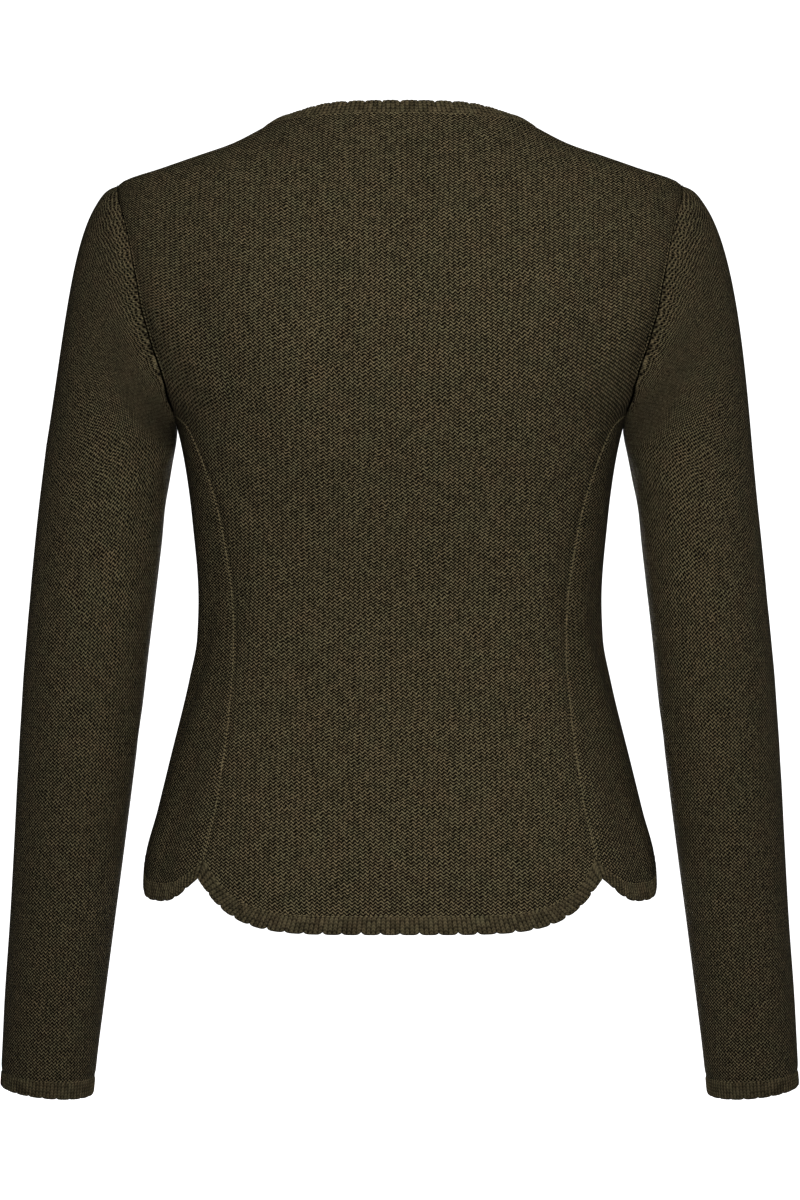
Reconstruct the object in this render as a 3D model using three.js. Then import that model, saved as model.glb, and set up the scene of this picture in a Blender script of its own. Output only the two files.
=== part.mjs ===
// A short fitted trachten cardigan in fine knit, buttoned and filled out as if worn.
// Seven body panels, two set-in sleeves, ribbed scalloped bands at neck, hem and cuffs,
// two overlapping front bands and a row of domed buttons.
// Millimetres. +Z is up, the wearer faces -Y, and x = 0 is the centre of the body.
// The origin is midway between the points where the shoulder seams meet the neckband.
import * as THREE from 'three';

// Driving sizes
const CLOTH = 1.6; // thickness of the knitted panels
const BAND_CLOTH = 2.0; // thickness of a ribbed band under its ribs
const SEAM_GAP = 0.3; // clearance between two pieces at a seam
const RIB_HEIGHT = 0.6; // how far a rib stands out of its band
const RIBS_PER_SCALLOP = 4;
const SCALLOP_DEPTH = 1.7; // how far the free edge pulls in between two scallops
const NECK_SCALLOP = 12.3; // length of one scallop along each free edge
const HEM_SCALLOP = 12.3;
const CUFF_SCALLOP = 10.2;
const NECK_BAND = 10.2; // heights of the bands
const HEM_BAND = 12;
const CUFF_BAND = 12.5;
const FRONT_BAND = 22; // width of the overlapping front bands
const BODY_POWER = 2.4; // how square the body's cross-sections are, 2 being an ellipse

// Body cross-sections: half width at the side line, and depth behind and before it.
// Above the underarm the side line lies outside the armhole, where the sleeve begins.
const SECTIONS = [
  { z: 18, half: 52, back: 45, front: 18 },
  { z: 4.7, half: 84, back: 54, front: 30 },
  { z: 0, half: 92.5, back: 57, front: 36 },
  { z: -11, half: 114, back: 63, front: 44 },
  { z: -19, half: 137, back: 67, front: 50 },
  { z: -27, half: 160, back: 71, front: 55 },
  { z: -37, half: 187, back: 75, front: 60 },
  { z: -60, half: 197, back: 83, front: 69 },
  { z: -95, half: 202.5, back: 91, front: 82 },
  { z: -118, half: 199.5, back: 94, front: 91 },
  { z: -142, half: 188.4, back: 96, front: 100 },
  { z: -165, half: 171.2, back: 96, front: 106 },
  { z: -180, half: 159.5, back: 95, front: 109 },
  { z: -193, half: 149.5, back: 93, front: 110 },
  { z: -219, half: 143.8, back: 88, front: 108 },
  { z: -259, half: 138.4, back: 78, front: 98 },
  { z: -313, half: 134.3, back: 70, front: 86 },
  { z: -338, half: 135.2, back: 71, front: 84 },
  { z: -366, half: 140.4, back: 76, front: 86 },
  { z: -420, half: 153.5, back: 91, front: 94 },
  { z: -453, half: 161.5, back: 99, front: 98.5 },
  { z: -486, half: 169.6, back: 106, front: 102 },
  { z: -545, half: 172, back: 114, front: 107 },
];

// Soft swellings of the figure, pushed straight out of the front or the back.
const SWELLINGS = [
  { face: 'back', x: 92, z: -128, wide: 46, high: 50, out: 4 }, // shoulder blades
  { face: 'back', x: 62, z: -500, wide: 60, high: 60, out: 4 }, // seat
  { face: 'front', x: 80, z: -202, wide: 38, high: 46, out: 11 }, // bust
];

// Soft vertical creases beside the waist: place round the body in quarter turns from the centre
// back, height of the middle, half length, half width and depth, and a drift round the body.
const CREASES = [
  { side: 1, round: 0.84, z: -352, long: 62, wide: 11, deep: 3.2, drift: -0.05 },
  { side: -1, round: 0.86, z: -340, long: 54, wide: 10, deep: 2.6, drift: -0.04 },
  { side: 1, round: 1.16, z: -346, long: 58, wide: 11, deep: 2.8, drift: 0.05 },
  { side: -1, round: 1.13, z: -358, long: 64, wide: 12, deep: 3.1, drift: 0.04 },
];

// The armhole is a loop from the shoulder tip round the back, the underarm and the front.
const ARMHOLE = { top: -37, bottom: -193, turn: 35 }; // turn: degrees it reaches from the side line
const ARMHOLE_STEPS = 24;
const UNDERARM_STEP = 11; // the step, counted from the top, where the side panels begin

// Distance of the seams from the centre line, beside the back and beside the front.
const SEAMS = [
  { z: -199, back: 140, front: 141 },
  { z: -215, back: 132.4, front: 134 },
  { z: -237, back: 124.2, front: 125 },
  { z: -264, back: 117.5, front: 116 },
  { z: -313, back: 110.9, front: 105 },
  { z: -345, back: 109.6, front: 103 },
  { z: -383, back: 110.6, front: 104 },
  { z: -422, back: 114.7, front: 109 },
  { z: -450, back: 119, front: 115 },
  { z: -480, back: 126.6, front: 123 },
  { z: -500, back: 134, front: 130 },
];

// The hem is a row of lobes that meet in notches below the seams. depth is how far a lobe
// hangs below its notches, and power how square it is.
const NOTCH = -494;
const BAND_NOTCH = -479; // where the hem band's own seam turns above a notch
const LOBES = {
  back: { depth: 31.2, power: 4.5 },
  side: { depth: 14.5, power: 2.5 },
  front: { depth: 29, power: 4.5 },
};

// Neckline: half width, height at the centre back, drop at the centre front.
const NECK = { half: 92.5, back: 4.7, side: -0.4, front: -72 };
// How far the neckband leans inwards, by quarter turns from the centre back.
const NECK_LEAN = [
  { turn: 0, inward: 0.42 },
  { turn: 1, inward: 0.84 },
  { turn: 2, inward: 0.3 },
];

// Arm cross-sections below the sleeve cap, with the centre of each ring. The wearer's right
// sleeve is a little slimmer in its half width.
const ARM = [
  { z: -212, x: 193, y: 2, half: 42.4, depth: 50, slim: 1 },
  { z: -262, x: 199.3, y: 3, half: 42, depth: 48, slim: 2.2 },
  { z: -313, x: 204.9, y: 3, half: 41.4, depth: 46, slim: 2 },
  { z: -366, x: 210.5, y: 1, half: 40.2, depth: 44, slim: 1.3 },
  { z: -420, x: 215.8, y: -3, half: 38.8, depth: 42, slim: 0.9 },
  { z: -474, x: 221, y: -8, half: 36.9, depth: 39.5, slim: 0.8 },
  { z: -528, x: 226.5, y: -12.5, half: 35, depth: 37, slim: 0.8 },
  { z: -581, x: 232, y: -16.5, half: 33.4, depth: 35, slim: 0.6 },
  { z: -620, x: 235.5, y: -19, half: 32, depth: 33.5, slim: 0.4 },
  { z: -650, x: 238, y: -21, half: 31.4, depth: 33, slim: 0.4 },
];
const CUFF_SEAM = -630.5; // height of the middle of the ring where the cuff begins

// How the cap leaves the armhole, by quarter turns from the shoulder tip towards the back:
// direction out, back and down, and how far the curve keeps to it and to the arm's own line.
const CAP = [
  { turn: 0, out: 1, back: 0, down: 0.35, leave: 31, arrive: 98 },
  { turn: 1, out: 0.75, back: 0.3, down: 0.55, leave: 30, arrive: 40 },
  { turn: 2, out: 0.12, back: 0, down: 1, leave: 7, arrive: 7 },
  { turn: 3, out: 0.75, back: -0.3, down: 0.55, leave: 30, arrive: 40 },
  { turn: 4, out: 1, back: 0, down: 0.35, leave: 31, arrive: 98 },
];

// Buttons
const BUTTON = { count: 8, radius: 7.5, rim: 1.5, dome: 3.4, first: -84, last: -504 };

// Mesh density
const BACK_COLUMNS = 16;
const FRONT_COLUMNS = 8;
const SIDE_COLUMNS = 5;
const CAP_ROWS = 6;
const ARM_ROWS = 11;
const COLUMNS_PER_RIB = 2;

const lerp = (a, b, t) => a + (b - a) * t;
const blend = (p, q, t) => p.clone().lerp(q, t);
const range = (count) => Array.from({ length: count }, (_, i) => i);
const degrees = THREE.MathUtils.degToRad;

// A smooth curve through one column of a table, which never swings past its rows.
function curveThrough(rows, by, of) {
  const table = [...rows].sort((a, b) => a[by] - b[by]);
  const xs = table.map((row) => row[by]);
  const ys = table.map((row) => row[of]);
  const rise = xs.slice(1).map((x, i) => (ys[i + 1] - ys[i]) / (x - xs[i]));
  const slope = xs.map((_, i) => {
    if (i === 0) return rise[0];
    if (i === xs.length - 1) return rise[i - 1];
    const [before, after] = [rise[i - 1], rise[i]];
    return before * after <= 0 ? 0 : (2 * before * after) / (before + after);
  });
  return (x) => {
    let i = 0;
    while (i < xs.length - 2 && x > xs[i + 1]) i += 1;
    const step = xs[i + 1] - xs[i];
    const t = THREE.MathUtils.clamp((x - xs[i]) / step, 0, 1);
    const value = (1 + 2 * t) * (1 - t) ** 2 * ys[i] + t * t * (3 - 2 * t) * ys[i + 1];
    return value + step * (t * (1 - t) ** 2 * slope[i] - t * t * (1 - t) * slope[i + 1]);
  };
}

const halfAt = curveThrough(SECTIONS, 'z', 'half');
const backAt = curveThrough(SECTIONS, 'z', 'back');
const frontAt = curveThrough(SECTIONS, 'z', 'front');

// A quarter of a body cross-section as evenly measured points, from the centre to the side line.
const QUARTER_STEPS = 90;
const quarters = new Map();
function quarterAt(z, face) {
  const key = `${face}${z.toFixed(3)}`;
  if (quarters.has(key)) return quarters.get(key);
  const half = halfAt(z);
  const depth = face === 'back' ? backAt(z) : frontAt(z);
  const points = range(QUARTER_STEPS + 1).map((i) => {
    const angle = (i / QUARTER_STEPS) * (Math.PI / 2);
    return new THREE.Vector2(
      half * Math.sin(angle) ** (2 / BODY_POWER),
      depth * Math.max(0, Math.cos(angle)) ** (2 / BODY_POWER),
    );
  });
  const reach = [0];
  for (let i = 1; i <= QUARTER_STEPS; i += 1) {
    reach.push(reach[i - 1] + points[i].distanceTo(points[i - 1]));
  }
  const quarter = { points, reach, length: reach[QUARTER_STEPS] };
  quarters.set(key, quarter);
  return quarter;
}

// Place round the body, in quarter turns from the centre back, of a distance from the centre line.
function turnAtX(z, face, x) {
  const { points, reach, length } = quarterAt(z, face);
  let i = 0;
  while (i < QUARTER_STEPS - 1 && points[i + 1].x < x) i += 1;
  const t = THREE.MathUtils.clamp((x - points[i].x) / (points[i + 1].x - points[i].x), 0, 1);
  const share = lerp(reach[i], reach[i + 1], t) / length;
  return face === 'back' ? share : 2 - share;
}

// The same of an angle from the centre back, in degrees.
function turnAtAngle(z, angle) {
  const face = angle <= 90 ? 'back' : 'front';
  const fromCentre = face === 'back' ? angle : 180 - angle;
  return turnAtX(z, face, halfAt(z) * Math.sin(degrees(fromCentre)) ** (2 / BODY_POWER));
}

const bell = (distance, width) => Math.exp(-((distance / width) ** 2));

// A point of the filled-out body: side is 1 or -1, turn runs from 0 at the centre back over
// 1 at the side line to 2 at the centre front.
function bodyPoint(side, turn, z) {
  const face = turn <= 1 ? 'back' : 'front';
  const { points, reach, length } = quarterAt(z, face);
  const target = THREE.MathUtils.clamp(face === 'back' ? turn : 2 - turn, 0, 1) * length;
  let i = 0;
  while (i < QUARTER_STEPS - 1 && reach[i + 1] < target) i += 1;
  const t = (target - reach[i]) / (reach[i + 1] - reach[i]);
  const flat = points[i].clone().lerp(points[i + 1], t);
  let out = 0;
  for (const swelling of SWELLINGS) {
    if (swelling.face !== face) continue;
    out += swelling.out * bell(flat.x - swelling.x, swelling.wide) * bell(z - swelling.z, swelling.high);
  }
  let dent = 0;
  for (const crease of CREASES) {
    if (crease.side !== side) continue;
    const along = (z - crease.z) / crease.long;
    const away = (turn - crease.round - crease.drift * along) * length;
    dent += crease.deep * bell(away, crease.wide) * bell(along, 1);
  }
  const facing = new THREE.Vector2(flat.x / halfAt(z) ** 2, flat.y / backAt(z) ** 2).normalize();
  const x = flat.x - dent * facing.x;
  const y = flat.y + out - dent * facing.y;
  return new THREE.Vector3(side * x, face === 'back' ? y : -y, z);
}

// The outward direction of the body's surface, from small steps round it and up it.
function bodyNormal(side, turn, z) {
  const round = bodyPoint(side, turn + 0.01, z).sub(bodyPoint(side, Math.max(turn - 0.01, -0.01), z));
  const up = bodyPoint(side, turn, z + 0.6).sub(bodyPoint(side, turn, z - 0.6));
  return round.cross(up).multiplyScalar(-side).normalize();
}

const surface = (side, turn, z) => ({
  point: bodyPoint(side, turn, z),
  normal: bodyNormal(side, Math.max(turn, 0.012), z),
});

// Height and turn of the armhole at a step of the loop, on the back for steps 0 to 12.
function armholeAt(step) {
  const angle = (step / ARMHOLE_STEPS) * 2 * Math.PI;
  const middle = (ARMHOLE.top + ARMHOLE.bottom) / 2;
  const z = middle + ((ARMHOLE.top - ARMHOLE.bottom) / 2) * Math.cos(angle);
  return { z, turn: turnAtAngle(z, 90 - ARMHOLE.turn * Math.sin(angle)) };
}

// The seams end at the armhole, at the step where the side panels begin.
const UNDERARM = armholeAt(UNDERARM_STEP).z;
const underarmX = bodyPoint(1, armholeAt(UNDERARM_STEP).turn, UNDERARM).x;
const seamRows = [...SEAMS, { z: UNDERARM, back: underarmX, front: underarmX }];
const seamX = { back: curveThrough(seamRows, 'z', 'back'), front: curveThrough(seamRows, 'z', 'front') };
const seamTurn = (z, face) => turnAtX(z, face, seamX[face](z));
const sideSeam = () => 1;

// A turn moved along the cross-section by a distance, towards the front where it is positive.
const moved = (turn, z, distance) => turn + distance / quarterAt(z, turn <= 1 ? 'back' : 'front').length;

// Heights of the rows that every panel shares between the hem and the underarm.
const HEM_ROWS = 4;
const LEVEL_TOP = -214;
const LEVEL_FOOT = -430;
const LEVELS = [...range(9).map((i) => lerp(LEVEL_FOOT, LEVEL_TOP, i / 9)), LEVEL_TOP];

// The height of a lobe's edge above its lowest point, for a place across it from -1 to 1.
const lobeRise = (lobe, across) => lobe.depth * Math.abs(across) ** lobe.power;
const lobeEdge = (lobe, across) => NOTCH - lobe.depth + lobeRise(lobe, across);
function lobeSeam(lobe, across) {
  const depth = BAND_NOTCH - (NOTCH - lobe.depth + HEM_BAND);
  return BAND_NOTCH - depth + depth * Math.abs(across) ** lobe.power;
}

// One row of a lower panel: hemShare runs from 0 at the hem band to 1 at the first level.
function hemRow(panel, hemShare, columns) {
  const foot = lerp(BAND_NOTCH, LEVEL_FOOT, hemShare);
  return range(columns + 1).map((i) => {
    const share = i / columns;
    const z = lerp(lobeSeam(panel.lobe, panel.across(share)) + SEAM_GAP / 2, LEVEL_FOOT, hemShare);
    return surface(panel.side, lerp(panel.start(foot), panel.end(foot), share), z);
  });
}

function levelRow(panel, z, columns) {
  return range(columns + 1).map((i) => {
    const turn = lerp(panel.start(z), panel.end(z), i / columns);
    return surface(panel.side, turn, z);
  });
}

function lowerRows(panel, columns) {
  const hem = range(HEM_ROWS).map((i) => hemRow(panel, i / HEM_ROWS, columns));
  return [...hem, ...LEVELS.map((z) => levelRow(panel, z, columns))];
}

// The four side panels end in a short edge under the arm.
function sidePanel(side, face) {
  const toFront = face === 'back' ? 1 : -1;
  const panel = {
    side,
    lobe: LOBES.side,
    across: (share) => 2 * share - 1,
    start: (z) => moved(seamTurn(z, face), z, (toFront * SEAM_GAP) / 2),
    end: (z) => moved(sideSeam(z), z, (-toFront * SEAM_GAP) / 2),
  };
  const rows = lowerRows(panel, SIDE_COLUMNS);
  rows.push(
    range(SIDE_COLUMNS + 1).map((i) => {
      const share = i / SIDE_COLUMNS;
      const z = lerp(UNDERARM, ARMHOLE.bottom, Math.sin((share * Math.PI) / 2));
      return surface(side, lerp(panel.start(UNDERARM), panel.end(ARMHOLE.bottom), share), z);
    }),
  );
  return rows;
}

// One half of the back, from the centre to the seam, armhole and shoulder.
const SHOULDER_ROWS = 4;
function backHalf(side) {
  const columns = BACK_COLUMNS / 2;
  const panel = {
    side,
    lobe: LOBES.back,
    across: (share) => share,
    start: () => 0,
    end: (z) => moved(seamTurn(z, 'back'), z, -SEAM_GAP / 2),
  };
  const rows = lowerRows(panel, columns);
  const edges = range(UNDERARM_STEP + 1).map((i) => {
    const { z, turn } = armholeAt(UNDERARM_STEP - i);
    return { z, turn: i ? Math.min(turn, moved(1, z, -SEAM_GAP / 2)) : panel.end(z) };
  });
  for (const i of range(SHOULDER_ROWS)) {
    const z = lerp(ARMHOLE.top, NECK.side, (i + 1) / SHOULDER_ROWS);
    edges.push({ z, turn: moved(1, z, -SEAM_GAP / 2) });
  }
  edges.forEach((edge, i) => {
    const centre = lerp(UNDERARM, NECK.back, i / (edges.length - 1));
    rows.push(
      range(columns + 1).map((j) => {
        const share = j / columns;
        return surface(side, edge.turn * share, lerp(centre, edge.z, share ** 2));
      }),
    );
  });
  return rows;
}

// The back in one piece, its rows running from the wearer's right to the left.
function backRows() {
  const left = backHalf(1);
  return backHalf(-1).map((row, i) => [...row.slice(1).reverse(), ...left[i]]);
}

// A point of the front neckline by its angle from the centre front, in degrees.
function necklineFront(angle) {
  const z = lerp(0, NECK.front, Math.cos(degrees(angle))) + NECK.side;
  return { z, turn: turnAtX(z, 'front', NECK.half * Math.sin(degrees(angle))) };
}

const frontEdge = FRONT_BAND / 2 + SEAM_GAP;
const NECK_START = THREE.MathUtils.radToDeg(Math.asin(frontEdge / NECK.half));
const PLAIN_ROWS = 5; // rows between the underarm and the lowest point of the neckline

function frontRows(side) {
  const panel = {
    side,
    lobe: LOBES.front,
    across: (share) => 1 - share,
    start: (z) => moved(seamTurn(z, 'front'), z, SEAM_GAP / 2),
    end: (z) => turnAtX(z, 'front', frontEdge),
  };
  const rows = lowerRows(panel, FRONT_COLUMNS);
  const count = UNDERARM_STEP;
  for (const i of range(count + 1)) {
    const arm = armholeAt(ARMHOLE_STEPS - (UNDERARM_STEP - i));
    const onNeck = (i - PLAIN_ROWS) / (count - PLAIN_ROWS);
    const centreZ = lerp(UNDERARM, necklineFront(NECK_START).z, i / PLAIN_ROWS);
    const inner = onNeck > 0
      ? necklineFront(lerp(NECK_START, 90, onNeck))
      : { z: centreZ, turn: turnAtX(centreZ, 'front', frontEdge) };
    rows.push(
      range(FRONT_COLUMNS + 1).map((j) => {
        const share = j / FRONT_COLUMNS;
        const z = lerp(arm.z, inner.z, share);
        const shoulder = moved(1, z, SEAM_GAP / 2);
        const turn = i === count ? shoulder : Math.max(lerp(arm.turn, inner.turn, share), shoulder);
        return surface(side, turn, z);
      }),
    );
  }
  return rows;
}

// A closed mesh, turned round if its faces point inwards.
function closedMesh(points, triangles) {
  let volume = 0;
  for (const [a, b, c] of triangles) {
    volume += points[a].dot(points[b].clone().cross(points[c]));
  }
  const faces = volume < 0 ? triangles.map(([a, b, c]) => [a, c, b]) : triangles;
  const geometry = new THREE.BufferGeometry();
  const flat = points.flatMap((p) => p.toArray());
  geometry.setAttribute('position', new THREE.Float32BufferAttribute(flat, 3));
  geometry.setIndex(faces.flat());
  geometry.computeVertexNormals();
  return geometry;
}

// A wall whose outer face is a grid of surface points, with the inner face behind it.
function wall(rows, thickness, closedAround = false) {
  const wide = rows[0].length;
  const points = rows.flatMap((row) => row.map(({ point }) => point.clone()));
  const inner = points.length;
  rows.forEach((row) => {
    row.forEach(({ point, normal }) => points.push(point.clone().addScaledVector(normal, -thickness)));
  });
  const triangles = [];
  const quad = (a, b, c, d) => {
    const short = points[a].distanceTo(points[c]) <= points[b].distanceTo(points[d]);
    triangles.push(...(short ? [[a, b, c], [a, c, d]] : [[a, b, d], [b, c, d]]));
  };
  const at = (i, j) => i * wide + (j % wide);
  const lastRow = rows.length - 1;
  const columns = closedAround ? wide : wide - 1;
  for (const i of range(lastRow)) {
    for (const j of range(columns)) {
      quad(at(i, j), at(i, j + 1), at(i + 1, j + 1), at(i + 1, j));
      quad(inner + at(i, j), inner + at(i + 1, j), inner + at(i + 1, j + 1), inner + at(i, j + 1));
    }
    if (closedAround) continue;
    quad(at(i, 0), at(i + 1, 0), inner + at(i + 1, 0), inner + at(i, 0));
    quad(at(i, wide - 1), inner + at(i, wide - 1), inner + at(i + 1, wide - 1), at(i + 1, wide - 1));
  }
  for (const j of range(columns)) {
    quad(at(0, j), inner + at(0, j), inner + at(0, j + 1), at(0, j + 1));
    quad(at(lastRow, j), at(lastRow, j + 1), inner + at(lastRow, j + 1), inner + at(lastRow, j));
  }
  return closedMesh(points, triangles);
}

// A band that follows a seam, with raised ribs outside, a plain inside and a scalloped free edge.
// Each column has a root at the seam, a tip at the free edge and the outward direction of both.
const COLUMNS_PER_SCALLOP = RIBS_PER_SCALLOP * COLUMNS_PER_RIB;
const INNER_STEP = COLUMNS_PER_SCALLOP / 2;
function ribbedBand(columns, closedAround = false) {
  const points = [];
  const outerRoot = [];
  const outerTip = [];
  const innerRoot = [];
  const innerTip = [];
  const add = (list, point) => list.push(points.push(point) - 1);
  columns.forEach(({ root, tip, rootNormal, tipNormal }, k) => {
    const phase = (k % COLUMNS_PER_SCALLOP) / COLUMNS_PER_SCALLOP;
    const rib = k % COLUMNS_PER_RIB === 1 ? RIB_HEIGHT : 0;
    const pull = SCALLOP_DEPTH * Math.abs(2 * phase - 1) ** 4;
    const edge = tip.clone().addScaledVector(root.clone().sub(tip).normalize(), pull);
    add(outerRoot, root.clone().addScaledVector(rootNormal, rib));
    add(outerTip, edge.clone().addScaledVector(tipNormal, rib));
    if (k % INNER_STEP) return;
    add(innerRoot, root.clone().addScaledVector(rootNormal, -BAND_CLOTH));
    add(innerTip, edge.clone().addScaledVector(tipNormal, -BAND_CLOTH));
  });
  if (closedAround) [outerRoot, outerTip, innerRoot, innerTip].forEach((list) => list.push(list[0]));
  const triangles = [];
  const quad = (a, b, c, d) => triangles.push([a, b, c], [a, c, d]);
  for (const k of range(outerRoot.length - 1)) {
    quad(outerRoot[k], outerTip[k], outerTip[k + 1], outerRoot[k + 1]);
  }
  for (const j of range(innerRoot.length - 1)) {
    quad(innerRoot[j], innerRoot[j + 1], innerTip[j + 1], innerTip[j]);
    for (const s of range(INNER_STEP)) {
      const k = j * INNER_STEP + s;
      const near = s < INNER_STEP / 2 ? j : j + 1;
      triangles.push([outerTip[k], innerTip[near], outerTip[k + 1]]);
      triangles.push([outerRoot[k], outerRoot[k + 1], innerRoot[near]]);
    }
    const middle = j * INNER_STEP + INNER_STEP / 2;
    triangles.push([outerTip[middle], innerTip[j], innerTip[j + 1]]);
    triangles.push([outerRoot[middle], innerRoot[j + 1], innerRoot[j]]);
  }
  if (!closedAround) {
    const last = outerRoot.length - 1;
    const lastInner = innerRoot.length - 1;
    quad(outerRoot[0], innerRoot[0], innerTip[0], outerTip[0]);
    quad(outerRoot[last], outerTip[last], innerTip[lastInner], innerRoot[lastInner]);
  }
  return closedMesh(points, triangles);
}

// A row of surface points as a line that can be read at any share of its columns.
function alongRow(row, share) {
  const place = THREE.MathUtils.clamp(share, 0, 1) * (row.length - 1);
  const i = Math.min(Math.floor(place), row.length - 2);
  return {
    point: blend(row[i].point, row[i + 1].point, place - i),
    normal: blend(row[i].normal, row[i + 1].normal, place - i).normalize(),
  };
}

// Shares of a curve that cut it into pieces of equal length.
const MEASURE_STEPS = 200;
function evenShares(curve, pieces) {
  const reach = [0];
  for (const i of range(MEASURE_STEPS)) {
    reach.push(reach[i] + curve(i / MEASURE_STEPS).distanceTo(curve((i + 1) / MEASURE_STEPS)));
  }
  return range(pieces + 1).map((k) => {
    const target = (k / pieces) * reach[MEASURE_STEPS];
    let i = 0;
    while (i < MEASURE_STEPS - 1 && reach[i + 1] < target) i += 1;
    return (i + (target - reach[i]) / (reach[i + 1] - reach[i])) / MEASURE_STEPS;
  });
}

function curveLength(curve) {
  return range(MEASURE_STEPS).reduce(
    (sum, i) => sum + curve(i / MEASURE_STEPS).distanceTo(curve((i + 1) / MEASURE_STEPS)),
    0,
  );
}

// The columns of one lobe of the hem band. Its ribs stand square to the edge, so each root
// lies nearer the middle of the lobe than its tip.
const RIB_LEAN = 0.05;
function hemColumns({ side, lobe, across, start, end, seamRow }) {
  const tipTurn = (share) => lerp(start(NOTCH), end(NOTCH), share);
  const tipAt = (share) => surface(side, tipTurn(share), lobeEdge(lobe, across(share)));
  const tipPoint = (share) => tipAt(share).point;
  const pieces = Math.round(curveLength(tipPoint) / HEM_SCALLOP) * COLUMNS_PER_SCALLOP;
  return evenShares(tipPoint, pieces).map((share) => {
    const place = across(share);
    const lean = RIB_LEAN * Math.sin(Math.PI * Math.abs(place) ** (lobe.power - 0.5));
    const outwards = Math.sign(place) * Math.sign(across(1) - across(0));
    const root = alongRow(seamRow, share - lean * outwards);
    const tip = tipAt(share);
    root.point.z -= 2 * SEAM_GAP;
    return { root: root.point, rootNormal: root.normal, tip: tip.point, tipNormal: tip.normal };
  });
}

// The neckband's columns, on the line that the front and back panels end in. Its two ends stay
// clear of the front bands.
function neckColumns(seam) {
  const lean = curveThrough(NECK_LEAN, 'turn', 'inward');
  const place = (share) => alongRow(seam, share);
  const placePoint = (share) => place(share).point;
  const pieces = Math.round(curveLength(placePoint) / NECK_SCALLOP) * COLUMNS_PER_SCALLOP;
  return evenShares(placePoint, pieces).map((share) => {
    const { point, normal } = place(share);
    const turn = Math.atan2(Math.abs(point.x), point.y) / (Math.PI / 2);
    const inward = new THREE.Vector3(-point.x, -point.y, 0).normalize();
    const upright = new THREE.Vector3(0, 0, Math.sqrt(1 - lean(turn) ** 2));
    const rise = inward.multiplyScalar(lean(turn)).add(upright);
    const round = new THREE.Vector3(-point.y, point.x, 0).normalize();
    const tipNormal = round.cross(rise).normalize();
    if (tipNormal.dot(new THREE.Vector3(point.x, point.y, 0)) < 0) tipNormal.negate();
    const root = point.clone().addScaledVector(rise, SEAM_GAP);
    const tip = root.clone().addScaledVector(rise, NECK_BAND);
    const nearest = Math.min(frontEdge, Math.abs(point.x));
    if (Math.abs(tip.x) < nearest) tip.x = Math.sign(point.x) * nearest;
    if (Math.abs(root.x) < nearest) root.x = Math.sign(point.x) * nearest;
    return { root, tip, rootNormal: normal, tipNormal };
  });
}

// The sleeve on one side.
const armX = curveThrough(ARM, 'z', 'x');
const armY = curveThrough(ARM, 'z', 'y');
const armWidest = curveThrough(ARM, 'z', 'half');
const armSlim = curveThrough(ARM, 'z', 'slim');
const armHalf = (side, z) => armWidest(z) - (side < 0 ? armSlim(z) : 0);
const armDepth = curveThrough(ARM, 'z', 'depth');
const armCentre = (side, z) => new THREE.Vector3(side * armX(z), armY(z), z);

// A point of the arm's ring whose middle is at height z, at an angle from its outer side.
function armPoint(side, z, angle) {
  const centre = armCentre(side, z);
  const down = armCentre(side, z - 2).sub(armCentre(side, z + 2)).normalize();
  const outward = new THREE.Vector3(side, 0, 0).addScaledVector(down, -side * down.x).normalize();
  const backward = new THREE.Vector3(0, 1, 0).addScaledVector(down, -down.y).normalize();
  return centre
    .addScaledVector(outward, armHalf(side, z) * Math.cos(angle))
    .addScaledVector(backward, armDepth(z) * Math.sin(angle));
}

// The sleeve begins just outside and inside the edge of the armhole.
function armholeEdge(side, step) {
  const { z, turn } = armholeAt(step);
  const edge = surface(side, turn, z);
  const middle = bodyPoint(side, 1, (ARMHOLE.top + ARMHOLE.bottom) / 2);
  const before = armholeAt(step - 1);
  const after = armholeAt(step + 1);
  const along = bodyPoint(side, after.turn, after.z).sub(bodyPoint(side, before.turn, before.z));
  const inward = along.cross(edge.normal).normalize();
  if (inward.dot(middle.sub(edge.point)) < 0) inward.negate();
  return edge.point.addScaledVector(edge.normal, SEAM_GAP).addScaledVector(inward, SEAM_GAP);
}

const capCurve = Object.fromEntries(
  ['out', 'back', 'down', 'leave', 'arrive'].map((column) => [column, curveThrough(CAP, 'turn', column)]),
);

function capPoint(side, step, share) {
  const turn = (step / ARMHOLE_STEPS) * 4;
  const angle = (step / ARMHOLE_STEPS) * 2 * Math.PI;
  const start = armholeEdge(side, step);
  const end = armPoint(side, ARM[0].z, angle);
  const leaving = new THREE.Vector3(side * capCurve.out(turn), capCurve.back(turn), -capCurve.down(turn));
  const arriving = armPoint(side, ARM[0].z - 4, angle).sub(end).normalize();
  return new THREE.CubicBezierCurve3(
    start,
    start.clone().addScaledVector(leaving.normalize(), capCurve.leave(turn)),
    end.clone().addScaledVector(arriving, -capCurve.arrive(turn)),
    end,
  ).getPoint(share);
}

// Adds outward directions to a tube's rows of points, from each point's neighbours.
function withNormals(rows, side) {
  return rows.map((row, i) => row.map((point, j) => {
    const above = rows[Math.max(i - 1, 0)][j];
    const below = rows[Math.min(i + 1, rows.length - 1)][j];
    const ahead = row[(j + 1) % row.length];
    const behind = row[(j + row.length - 1) % row.length];
    const normal = ahead.clone().sub(behind).cross(below.clone().sub(above)).multiplyScalar(-side);
    return { point, normal: normal.normalize() };
  }));
}

function sleeveRows(side) {
  const steps = range(ARMHOLE_STEPS);
  const cap = range(CAP_ROWS).map((i) => steps.map((step) => capPoint(side, step, i / CAP_ROWS)));
  const arm = range(ARM_ROWS + 1).map((i) => {
    const z = lerp(ARM[0].z, CUFF_SEAM, i / ARM_ROWS);
    return steps.map((step) => armPoint(side, z, (step / ARMHOLE_STEPS) * 2 * Math.PI));
  });
  return withNormals([...cap, ...arm], side);
}

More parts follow.
